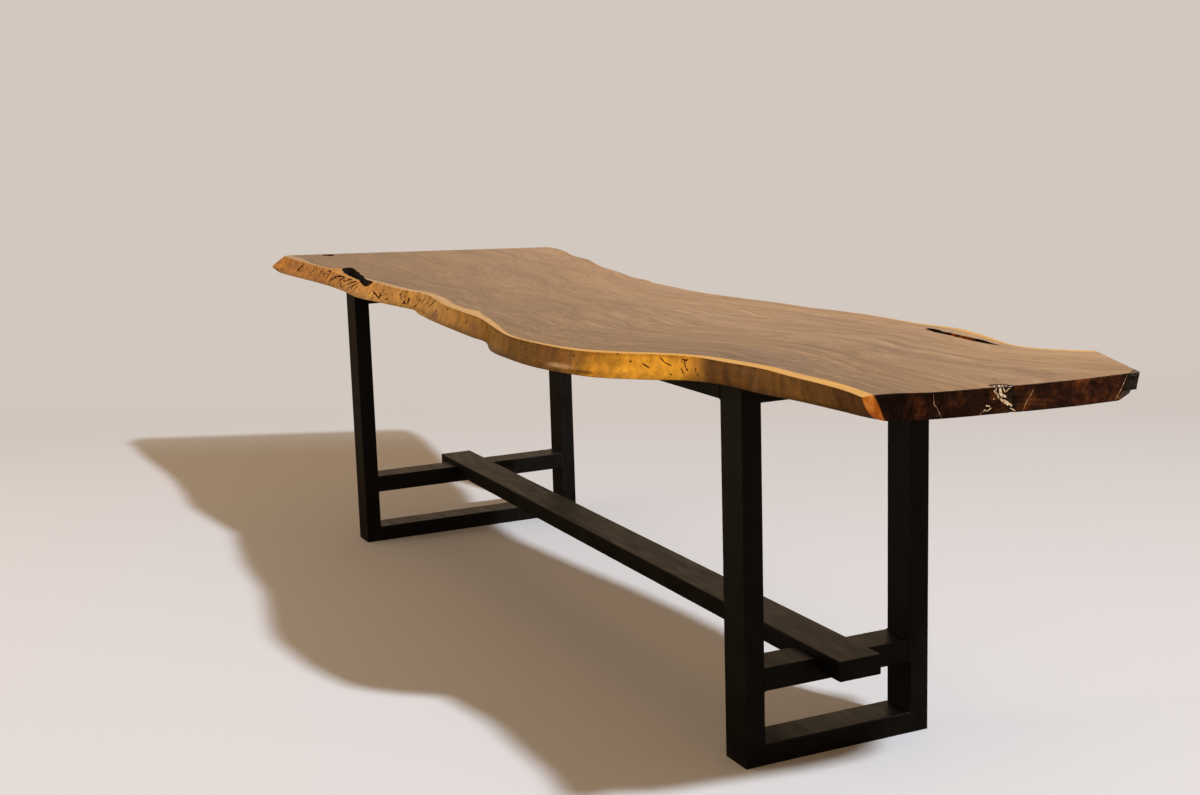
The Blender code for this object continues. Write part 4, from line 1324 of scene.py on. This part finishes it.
    def groove(self, path: Sequence[Vector], out: Vector, width: float, depth: float) -> list[np.ndarray]:
        """Return the rings of a cutter for a groove along a path on the surface.

        Args:
            path: Points of the surface.
            out: The surface's outward direction.
            width: The groove's width, in metres.
            depth: Its depth, in metres.

        Returns:
            Rings along the path, narrower at both ends.
        """
        rings = []
        for i, point in enumerate(path):
            run = (path[min(i + 1, len(path) - 1)] - path[max(i - 1, 0)]).normalized()
            side = run.cross(out).normalized()
            share = i / (len(path) - 1)
            within = min(max(share, self.groove_blunt), 1 - self.groove_blunt)
            swell = math.sin(math.pi * within) ** 0.5
            taper = self.groove_tip + (1 - self.groove_tip) * swell
            ring = []
            for k in range(6):
                angle = math.pi / 3 * k
                ring.append(point + side * (math.cos(angle) * width / 2 * taper)
                            + out * (math.sin(angle) * depth * taper))
            rings.append(np.array(ring))
        return rings

    def specks(self) -> Iterator[tuple[float, float, float, float, float]]:
        """Strew short tracks over the far half of the front edge.

        Yields:
            Values in the order of the table of tracks.
        """
        random = np.random.default_rng(self.speck_seed)
        for _ in range(self.speck_count):
            along = random.uniform(*self.speck_along)
            level = random.uniform(*self.speck_level)
            lean = random.uniform(*self.speck_lean)
            length = random.uniform(*self.speck_length)
            foot = max(self.speck_foot, level - length)
            yield along, level, along + lean, foot, random.uniform(*self.speck_width)

    def track_grooves(self) -> Iterator[list[np.ndarray]]:
        """Draw a cutter for each beetle track in the front edge.

        Yields:
            A cutter's rings.
        """
        for number, (u0, h0, u1, h1, width) in enumerate([*self.tracks, *self.specks()]):
            width *= float(np.interp(u0, *np.asarray(self.track_swell).T))
            start = self.on_front(u0, h0)
            length = max((self.on_front(u1, h1) - start).length, self.track_least)
            steps = max(3, int(length / self.track_step))
            path = []
            for step in range(steps + 1):
                t = step / steps
                bend = noise.noise(Vector((number * 7.3, t * length / self.sway_length, 0.0)))
                along = u0 + (u1 - u0) * t + self.track_sway * bend / self.half_length
                path.append(self.on_front(along, h0 + (h1 - h0) * t))
            if (path[-1] - path[0]).length < self.track_least:
                shares = [2 * k / steps - 1 for k in range(steps + 1)]
                path = [path[0] + Vector((self.hole_half * share, 0, 0)) for share in shares]
            yield self.groove(path, Vector(self.front_out), width / 1000, self.track_depth)

    def check_grooves(self) -> Iterator[list[np.ndarray]]:
        """Draw a cutter for each filled check in the near end.

        Yields:
            A cutter's rings.
        """
        for width, *points in self.checks:
            line = smooth_curve(points, 5)
            path = [self.on_end(y, h) for y, h in line]
            yield self.groove(path, Vector(self.end_out), width / 1000, self.check_depth)

    def sleeve_holes(self) -> Iterator[list[np.ndarray]]:
        """Draw a cutter for each blind hole that takes a threaded sleeve.

        Yields:
            A cutter's rings.
        """
        for number in SLAB_BOLTS:
            low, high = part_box(f"slab_sleeve_{number}")
            radius = (high.x - low.x) / 2 + self.sleeve_gap
            centre = (low + high) / 2
            turn = np.linspace(0, 2 * math.pi, self.hole_sides, endpoint=False)
            circle = np.column_stack([centre.x + radius * np.cos(turn), centre.y + radius * np.sin(turn)])
            ends = (low.z - self.clearance, high.z + self.sleeve_gap)
            yield [np.column_stack([circle, np.full(self.hole_sides, z)]) for z in ends]

    def cutters(self) -> Iterator[tuple[list[np.ndarray], Face]]:
        """Draw every cutter in turn.

        Yields:
            A cutter's rings, and what the faces that it leaves are.
        """
        yield self.cavity(self.hollow_rim, self.hollow_depth, self.hollow_ragged), Face.HOLLOW
        yield self.mouth(), Face.HOLLOW
        yield self.cavity(self.crack_rim, self.crack_depth, self.crack_ragged), Face.HOLLOW
        yield self.cavity(self.far_knot_rim, self.far_knot_depth, self.far_knot_ragged), Face.HOLLOW
        yield self.knot_pocket(), Face.HOLLOW
        yield self.corner_pocket(), Face.END
        for rings in self.sleeve_holes():
            yield rings, Face.SAWN
        for rings in self.track_grooves():
            yield rings, Face.TRACK
        for rings in self.check_grooves():
            yield rings, Face.CHECK

    def build(self, finishes: dict[Face, Finish]) -> Object:
        """Make the slab: cut its shell, then measure each point's place in the log.

        Args:
            finishes: The finish of each kind of face.

        Returns:
            The slab's piece.
        """
        shell = self.shell()
        for face in Face:
            shell.materials.append(finishes[face].material())
        board = bpy.data.objects.new("slab_shell", shell)
        bpy.context.scene.collection.objects.link(board)
        tools = bpy.data.collections.new("slab_cutters")
        for rings, face in self.cutters():
            mesh = loft("slab_cutter", rings)
            mesh.polygons.foreach_set("material_index", np.full(len(mesh.polygons), face.value, np.int32))
            tools.objects.link(bpy.data.objects.new("slab_cutter", mesh))
        boolean = board.modifiers.new("hollows", "BOOLEAN")
        boolean.operation = "DIFFERENCE"
        boolean.solver = "EXACT"
        boolean.operand_type = "COLLECTION"
        boolean.collection = tools
        mesh = evaluated(board, "slab_board")
        for tool in list(tools.objects):
            bpy.data.objects.remove(tool, do_unlink=True)
        bpy.data.collections.remove(tools)
        self.measure(mesh)
        mesh.shade_smooth()
        mesh.set_sharp_from_angle(angle=math.radians(self.sharp_degrees))
        return make_piece("slab_board", mesh, Slot.SLAB, ["slab_top"])

    def measure(self, mesh: Mesh) -> None:
        """Store on each vertex how far across the log it lies, and how deep past its sapwood.

        Args:
            mesh: The slab's mesh, which gets the attributes "across" and "sap", in metres.
        """
        places = np.zeros(len(mesh.vertices) * 3)
        mesh.vertices.foreach_get("co", places)
        places = places.reshape(-1, 3)
        level = (places[:, 2] - self.underside) / self.thickness
        reach = []
        depth = []
        for line, table in ((self.front, self.front_sap), (self.back, self.back_sap)):
            tree = kdtree.KDTree(len(line))
            for i, (x, y) in enumerate(line[:, :2] * (self.half_length, self.half_width)):
                tree.insert((x, y, 0.0), i)
            tree.balance()
            far = np.array([tree.find((x, y, 0.0))[2] for x, y, _ in places])
            width = np.interp(places[:, 0] / self.half_length, *np.asarray(table).T) / 1000
            reach.append(far)
            depth.append(far - width - self.sap_flare * (1 - level))
        across = (reach[0] / (reach[0] + reach[1] + 1e-6) - 0.5) * self.half_width * self.log_spread
        for name, values in (("across", across), ("sap", np.minimum(*depth))):
            layer = mesh.attributes.new(name, "FLOAT", "POINT")
            layer.data.foreach_set("value", values.astype(np.float32))


@dataclass
class CastFill:
    """Resin poured into a gap in the slab, over loose splinters of bark and wood."""

    node: str
    finish: Finish
    uneven: float = 0.0025
    lump: float = 0.010
    merge: float = 0.00005
    splits: int = 4
    sharp_degrees: float = 40.0

    def build(self) -> Object:
        """Make the fill from its CAD node: finer, and drawn in where it set unevenly.

        Returns:
            The fill's piece.
        """
        source = bpy.data.objects[self.node]
        bm = bmesh.new()
        bm.from_mesh(source.data)
        bm.transform(source.matrix_world)
        bmesh.ops.remove_doubles(bm, verts=bm.verts, dist=self.merge)
        bmesh.ops.triangulate(bm, faces=bm.faces)
        bmesh.ops.recalc_face_normals(bm, faces=bm.faces)
        for _ in range(self.splits):
            bmesh.ops.subdivide_edges(bm, edges=bm.edges, cuts=1, use_grid_fill=True)
            bmesh.ops.triangulate(bm, faces=bm.faces)
        bm.normal_update()
        moves = [(vert, vert.normal.copy()) for vert in bm.verts]
        for vert, normal in moves:
            depth = 0.5 + 0.5 * noise.fractal(vert.co / self.lump, 1.0, 2.0, 3)
            vert.co -= normal * self.uneven * min(max(depth, 0.0), 1.0)
        mesh = bpy.data.meshes.new(self.node + "_cast")
        bm.to_mesh(mesh)
        bm.free()
        mesh.materials.append(self.finish.material())
        mesh.shade_smooth()
        mesh.set_sharp_from_angle(angle=math.radians(self.sharp_degrees))
        return make_piece(self.node + "_cast", mesh, Slot.RESIN, [self.node])


@dataclass
class KnotFill(CastFill):
    """The cast knot: dark resin with pale splinters of wood standing in it."""

    splinter_finish: Finish = CheckFiller("wood splinters, sealed in resin", roughness=0.35)
    splinter_depth: float = 0.0012
    top_sink: float = 0.0014
    # Splinters on the near end: width in millimetres, then places across in metres and levels
    splinters: Sequence[Sequence[Any]] = (
        (7.0, (-0.0321, 0.95), (-0.0297, 0.73), (-0.0252, 0.61)),
        (5.0, (-0.0388, 0.78), (-0.0365, 0.68), (-0.0341, 0.57)),
        (5.0, (-0.0297, 0.70), (-0.0240, 0.66), (-0.0185, 0.60)),
        (5.5, (-0.0318, 0.56), (-0.0228, 0.42), (-0.0138, 0.30)),
        (5.0, (-0.0229, 0.50), (-0.0139, 0.37), (-0.0049, 0.25)),
        (3.0, (-0.0093, 0.18), (-0.0030, 0.12), (0.0020, 0.05)),
        (3.0, (-0.0187, 0.79), (-0.0155, 0.85), (-0.0100, 0.93)),
        (4.0, (-0.0457, 0.88), (-0.0425, 0.80), (-0.0388, 0.74)),
        (3.5, (-0.0250, 0.93), (-0.0225, 0.86), (-0.0215, 0.78)),
        (3.0, (-0.0400, 0.96), (-0.0410, 0.90), (-0.0420, 0.86)),
    )
    # Splinters on the top: width in millimetres, then places along and across in metres
    top_splinters: Sequence[Sequence[Any]] = (
        (5.0, (2.0450, -0.0170), (2.0530, -0.0250), (2.0610, -0.0330)),
        (4.0, (2.0480, -0.0120), (2.0540, -0.0180), (2.0620, -0.0260)),
        (4.0, (2.0440, -0.0300), (2.0520, -0.0360), (2.0600, -0.0420)),
        (3.0, (2.0520, -0.0070), (2.0580, -0.0110), (2.0640, -0.0160)),
    )

    def dress(self, slab: Slab) -> Object:
        """Make the splinters, half sunk in the resin.

        Args:
            slab: The slab, which tells where its near end is.

        Returns:
            The splinters' piece.
        """
        bm = bmesh.new()
        sunk = slab.top - self.top_sink
        lines = []
        for width, *points in self.splinters:
            lines.append((width, [slab.on_end(y, h) for y, h in smooth_curve(points, 4)],
                          Vector((1, 0, 0))))
        for width, *points in self.top_splinters:
            lines.append((width, [Vector((x, y, sunk)) for x, y in smooth_curve(points, 4)],
                          Vector((0, 0, 1))))
        for width, path, out in lines:
            mesh = loft("splinter", slab.groove(path, out, width / 1000, self.splinter_depth))
            bm.from_mesh(mesh)
            bpy.data.meshes.remove(mesh)
        mesh = bpy.data.meshes.new("knot_splinters")
        bm.to_mesh(mesh)
        bm.free()
        mesh.materials.append(self.splinter_finish.material())
        mesh.shade_smooth()
        mesh.set_sharp_from_angle(angle=math.radians(self.sharp_degrees))
        return make_piece("knot_splinters", mesh, Slot.RESIN)


@dataclass
class SteelBase:
    """The welded base: powder-coated tube with small fillet welds where rails butt on posts."""

    finish: Finish
    tube_radius: float = 0.0025
    bead_radius: float = 0.0022
    bead_step: float = 0.0026
    bead_vary: Pair = (0.8, 1.15)
    bead_seed: int = 4
    slab_gap: float = 0.003
    tubes: Sequence[str] = ("front_post", "back_post", "foot_bar", "mid_rail", "top_rail")
    others: Sequence[str] = (
        "front_long_rail", "back_long_rail", "stretcher", "stretcher_cap_near", "stretcher_cap_far",
    )

    def build(self) -> Object:
        """Coat the tubes, and lay the welds.

        Returns:
            The welds' piece.
        """
        coat = self.finish.material()
        names = [f"{end}_{tube}" for end in ("near", "far") for tube in self.tubes]
        for name in [*names, *self.others]:
            paint_node(name, coat)
        return self.welds(coat)

    def seams(self) -> list[list[Vector]]:
        """Find the lines where rails butt on the posts and the top rails.

        Returns:
            Each line's points, which close on themselves.
        """
        seams = []
        for end in ("near", "far"):
            low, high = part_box(f"{end}_mid_rail")
            line = rounded(low.x, low.z, high.x, high.z, self.tube_radius)
            for y in (low.y, high.y):
                seams.append([Vector((x, y, z)) for x, z in line])
        for name in ("front_long_rail", "back_long_rail"):
            low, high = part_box(name)
            line = rounded(low.y, low.z, high.y, high.z - self.slab_gap, self.tube_radius)
            for x in (low.x, high.x):
                seams.append([Vector((x, y, z)) for y, z in line])
        return seams

    def welds(self, coat: Material) -> Object:
        """Lay overlapping drops along the seams with Geometry Nodes.

        Args:
            coat: The paint over the welds.

        Returns:
            The welds' piece.
        """
        lines = bpy.data.meshes.new("weld_lines")
        verts: list[Vector] = []
        edges: list[tuple[int, int]] = []
        for seam in self.seams():
            first = len(verts)
            verts += seam
            edges += [(first + i, first + (i + 1) % len(seam)) for i in range(len(seam))]
        lines.from_pydata(verts, edges, [])
        carrier = bpy.data.objects.new("weld_lines", lines)
        bpy.context.scene.collection.objects.link(carrier)
        tree, keys = geometry_tree("weld_drops", {"Step": "NodeSocketFloat", "Radius": "NodeSocketFloat",
                                                  "Coat": "NodeSocketMaterial"})
        given = add_node(tree, "NodeGroupInput").outputs
        curve = add_node(tree, "GeometryNodeMeshToCurve", {0: given["Geometry"]})
        even = add_node(tree, "GeometryNodeResampleCurve",
                        {"Curve": curve.outputs[0], "Length": given["Step"]}, mode="LENGTH")
        drop = add_node(tree, "GeometryNodeMeshIcoSphere", {"Radius": given["Radius"], "Subdivisions": 2})
        least, most = self.bead_vary
        varied = add_node(tree, "FunctionNodeRandomValue", {2: least, 3: most, "Seed": self.bead_seed},
                          data_type="FLOAT")
        laid = add_node(tree, "GeometryNodeInstanceOnPoints",
                        {"Points": even.outputs[0], "Instance": drop.outputs[0],
                         "Scale": varied.outputs[1]})
        real = add_node(tree, "GeometryNodeRealizeInstances", {0: laid.outputs[0]})
        painted = add_node(tree, "GeometryNodeSetMaterial",
                           {"Geometry": real.outputs[0], "Material": given["Coat"]})
        add_node(tree, "NodeGroupOutput", {0: painted.outputs[0]})
        modifier = carrier.modifiers.new("welds", "NODES")
        modifier.node_group = tree
        modifier[keys["Step"]] = self.bead_step
        modifier[keys["Radius"]] = self.bead_radius
        modifier[keys["Coat"]] = coat
        mesh = evaluated(carrier, "weld_beads")
        mesh.shade_smooth()
        return make_piece("weld_beads", mesh, Slot.STEEL)


@dataclass(frozen=True)
class BoltSize:
    """A hexagon bolt: its head's radius to the corners, its head's height and its shank's radius."""

    head: float
    height: float
    shank: float


@dataclass
class Fasteners:
    """Zinc-plated bolts, washers, threaded sleeves and rivet nuts."""

    finish: Finish
    slab_bolt: BoltSize = BoltSize(0.0095, 0.0064, 0.005)
    stretcher_bolt: BoltSize = BoltSize(0.0075, 0.0053, 0.004)
    # The head's chamfer in shares of its height, its round face in shares of its width, and the shank's tip
    chamfer: float = 0.16
    face_shares: Pair = (0.88, 0.96)
    tip: float = 0.001
    turn_seed: int = 9
    sharp_degrees: float = 25.0

    def build(self) -> None:
        """Plate the CAD fasteners, and make the bolts again with chamfered heads."""
        plate = self.finish.material()
        corners = [f"{end}_{side}" for end in ("near", "far") for side in ("front", "back")]
        for number in SLAB_BOLTS:
            paint_node(f"slab_washer_{number}", plate)
            paint_node(f"slab_sleeve_{number}", plate)
        for corner in corners:
            paint_node(f"stretcher_nut_{corner}", plate)
        self.bolts("slab_bolts", [f"slab_bolt_{number}" for number in SLAB_BOLTS], self.slab_bolt, plate)
        self.bolts("stretcher_bolts", [f"stretcher_bolt_{corner}" for corner in corners],
                   self.stretcher_bolt, plate)

    def bolts(self, name: str, nodes: Sequence[str], size: BoltSize, plate: Material) -> Object:
        """Copy one hexagon bolt to the place of each CAD bolt with Geometry Nodes.

        Args:
            name: The piece's name.
            nodes: The CAD bolts.
            size: The bolt's sizes.
            plate: The plating.

        Returns:
            The bolts' piece.
        """
        boxes = [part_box(node) for node in nodes]
        length = boxes[0][1].z - boxes[0][0].z
        flat = size.head * math.cos(math.pi / 6)
        # Each ring's height, and its radius at the hexagon's corners and at its flats
        outlines = [(0.0, share * flat, share * flat) for share in self.face_shares]
        outlines += [(z, size.head, flat) for z in (self.chamfer * size.height, size.height)]
        outlines += [(size.height, size.shank, size.shank), (length - self.tip, size.shank, size.shank),
                     (length, size.shank - self.tip, size.shank - self.tip)]
        rings = []
        for z, *radii in outlines:
            ring = []
            for k in range(12):
                angle = math.pi / 6 * k
                ring.append((radii[k % 2] * math.cos(angle), radii[k % 2] * math.sin(angle), z))
            rings.append(np.array(ring))
        model = bpy.data.objects.new("bolt_model", loft("bolt_model", rings))
        spots = bpy.data.meshes.new("bolt_places")
        spots.from_pydata([((low.x + high.x) / 2, (low.y + high.y) / 2, low.z) for low, high in boxes], [],
                          [])
        carrier = bpy.data.objects.new("bolt_places", spots)
        for obj in (model, carrier):
            bpy.context.scene.collection.objects.link(obj)
        tree, keys = geometry_tree("bolt_row", {"Bolt": "NodeSocketObject", "Plate": "NodeSocketMaterial"})
        given = add_node(tree, "NodeGroupInput").outputs
        shape = add_node(tree, "GeometryNodeObjectInfo", {"Object": given["Bolt"]})
        turn = add_node(tree, "FunctionNodeRandomValue", {0: (0.0, 0.0, 0.0), 1: (0.0, 0.0, 1.0),
                                                          "Seed": self.turn_seed}, data_type="FLOAT_VECTOR")
        set_out = add_node(tree, "GeometryNodeInstanceOnPoints",
                           {"Points": given["Geometry"], "Instance": shape.outputs["Geometry"],
                            "Rotation": turn.outputs[0]})
        real = add_node(tree, "GeometryNodeRealizeInstances", {0: set_out.outputs[0]})
        painted = add_node(tree, "GeometryNodeSetMaterial",
                           {"Geometry": real.outputs[0], "Material": given["Plate"]})
        add_node(tree, "NodeGroupOutput", {0: painted.outputs[0]})
        modifier = carrier.modifiers.new("bolts", "NODES")
        modifier.node_group = tree
        modifier[keys["Bolt"]] = model
        modifier[keys["Plate"]] = plate
        mesh = evaluated(carrier, name)
        bpy.data.objects.remove(model, do_unlink=True)
        mesh.shade_smooth()
        mesh.set_sharp_from_angle(angle=math.radians(self.sharp_degrees))
        return make_piece(name, mesh, Slot.FASTENERS, nodes)


@dataclass
class Studio:
    """A pale floor, soft light and the camera's place."""

    floor: Finish
    floor_half: float = 60.0
    backdrop: str = "#d2c8bf"
    ambient: str = "#ffcb92"
    ambient_strength: float = 0.385
    mirrored: str = "#ffdcb6"
    mirrored_strength: float = 0.6
    key_place: Triple = (4.9, 1.57, 5.6)
    key_target: Triple = (0.0, 0.0, 0.6)
    key_power: float = 9.8
    key_size: float = 0.32
    fill_tint: str = "#ffe6cc"
    fill_place: Triple = (-1.5, -6.0, 2.6)
    fill_target: Triple = (0.2, 0.0, 0.6)
    fill_power: float = 110.0
    fill_size: float = 4.0
    lens_mm: float = 49.07
    sensor_mm: float = 36.0
    eye: Triple = (4.6811, -2.1481, 1.5899)
    right: Triple = (0.42743, 0.90355, -0.03003)
    up: Triple = (-0.14783, 0.10263, 0.98368)
    behind: Triple = (0.89188, -0.41601, 0.17744)

    def build(self) -> None:
        """Set out the floor, the world, the lamps and the camera."""
        half = self.floor_half
        mesh = bpy.data.meshes.new("floor")
        corners = [(-half, -half, 0), (half, -half, 0), (half, half, 0), (-half, half, 0)]
        mesh.from_pydata(corners, [], [(0, 1, 2, 3)])
        mesh.materials.append(self.floor.material())
        floor = bpy.data.objects.new("floor", mesh)
        bpy.context.scene.collection.objects.link(floor)
        self.world()
        key = self.lamp("key_light", self.key_place, self.key_target, self.key_power, self.key_size)
        # A studio's reflectors keep the light even from end to end, so it doesn't fall off with distance
        key.use_nodes = True
        tree = key.node_tree
        even = add_node(tree, "LightFalloff", {"Strength": 1.0}).outputs["Constant"]
        tree.links.new(even, tree.nodes["Emission"].inputs["Strength"])
        fill = self.lamp("fill_light", self.fill_place, self.fill_target, self.fill_power, self.fill_size)
        fill.color = colour(self.fill_tint)[:3]
        self.camera()

    def world(self) -> None:
        """Light the scene evenly, mirror a brighter room, and show the camera a plain backdrop."""
        world = bpy.data.worlds.new("studio")
        world.use_nodes = True
        tree = world.node_tree
        tree.nodes.clear()
        path = add_node(tree, "LightPath").outputs
        soft = add_node(tree, "Background",
                        {"Color": colour(self.ambient), "Strength": self.ambient_strength})
        dim = add_node(tree, "Background",
                       {"Color": colour(self.mirrored), "Strength": self.mirrored_strength})
        plain = add_node(tree, "Background", {"Color": colour(self.backdrop), "Strength": 1.0})
        lit = add_node(tree, "MixShader", {0: path["Is Glossy Ray"], 1: soft.outputs[0], 2: dim.outputs[0]})
        mixed = add_node(tree, "MixShader",
                         {0: path["Is Camera Ray"], 1: lit.outputs[0], 2: plain.outputs[0]})
        add_node(tree, "OutputWorld", {0: mixed.outputs[0]})
        bpy.context.scene.world = world

    def lamp(self, name: str, place: Sequence[float], target: Sequence[float], power: float,
             size: float) -> AreaLight:
        """Hang a square soft light.

        Args:
            name: The lamp's name.
            place: Where it hangs.
            target: What it is aimed at.
            power: Its power in watts.
            size: Its width in metres.

        Returns:
            The lamp's light.
        """
        data = bpy.data.lights.new(name, "AREA")
        data.energy = power
        data.size = size
        lamp = bpy.data.objects.new(name, data)
        lamp.location = place
        lamp.rotation_euler = (Vector(target) - Vector(place)).to_track_quat("-Z", "Y").to_euler()
        bpy.context.scene.collection.objects.link(lamp)
        return data

    def camera(self) -> None:
        """Stand the camera where the photo was taken from."""
        data = bpy.data.cameras.new("camera")
        data.lens = self.lens_mm
        data.sensor_width = self.sensor_mm
        camera = bpy.data.objects.new("camera", data)
        turn = Matrix((self.right, self.up, self.behind)).transposed().to_4x4()
        camera.matrix_world = Matrix.Translation(self.eye) @ turn
        bpy.context.scene.collection.objects.link(camera)
        bpy.context.scene.camera = camera


def loft(name: str, rings: Sequence[np.ndarray]) -> Mesh:
    """Return a closed mesh through rings of equally many points, with flat ends.

    Args:
        name: The mesh's name.
        rings: Each ring's points.

    Returns:
        The mesh, with its faces pointing out.
    """
    bm = bmesh.new()
    loops = [[bm.verts.new(point) for point in ring] for ring in rings]
    for low, high in zip(loops, loops[1:]):
        for i, vert in enumerate(low):
            j = (i + 1) % len(low)
            bm.faces.new((vert, low[j], high[j], high[i]))
    bm.faces.new(loops[0])
    bm.faces.new(loops[-1])
    bmesh.ops.recalc_face_normals(bm, faces=bm.faces)
    mesh = bpy.data.meshes.new(name)
    bm.to_mesh(mesh)
    bm.free()
    return mesh


def rounded(left: float, low: float, right: float, high: float, radius: float) -> list[Pair]:
    """Return a rectangle's outline with round corners.

    Args:
        left: Its least first value.
        low: Its least second value.
        right: Its greatest first value.
        high: Its greatest second value.
        radius: The corners' radius.

    Returns:
        The outline's points.
    """
    points = []
    corners = ((right - radius, high - radius), (left + radius, high - radius),
               (left + radius, low + radius), (right - radius, low + radius))
    for quarter, (p, q) in enumerate(corners):
        for step in range(4):
            angle = math.pi / 2 * (quarter + step / 3)
            points.append((p + radius * math.cos(angle), q + radius * math.sin(angle)))
    return points


def paint_node(name: str, material: Material) -> None:
    """Give a CAD node that stays in view its finish.

    Args:
        name: The node's name.
        material: Its material.
    """
    mesh = bpy.data.objects[name].data
    mesh.materials.clear()
    mesh.materials.append(material)
    LOG.info("%s: %s", name, material.name)


def main() -> None:
    """Build the table's pieces in order, then the studio round them."""
    logging.basicConfig(level=logging.INFO, format="%(name)s: %(message)s")
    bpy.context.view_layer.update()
    slab = Slab()
    slab.build({
        Face.SAWN: OiledWalnut("walnut, sawn, sanded and oiled"),
        Face.LIVE: BarkedSapwood("walnut sapwood, barked and oiled", roughness=0.42, specular=0.15),
        Face.END: EndGrain("walnut end grain, oiled", roughness=0.24, specular=0.24),
        Face.HOLLOW: RottedHeart("walnut, rotted bare", roughness=0.85, specular=0.2),
        Face.TRACK: BeetleTrack("walnut sapwood, bored by beetles", roughness=0.85, specular=0.2),
        Face.CHECK: CheckFiller("check in walnut, filled pale", roughness=0.4),
    })
    knot = KnotFill("knot_fill", BarkResin("resin cast over bark", roughness=0.22, specular=0.4))
    knot.build()
    knot.dress(slab)
    CastFill("corner_fill", GreyWood("weathered wood, sealed in resin", roughness=0.28, specular=0.4),
             uneven=0.0015, lump=0.02).build()
    SteelBase(PowderCoat("steel, powder coated satin black", specular=0.19)).build()
    Fasteners(ZincPlate("steel, zinc plated", metallic=1.0)).build()
    Studio(PaleFloor("studio floor, painted", roughness=0.7)).build()
    bpy.context.scene.view_settings.view_transform = "Standard"


if __name__ == "__main__":
    main()
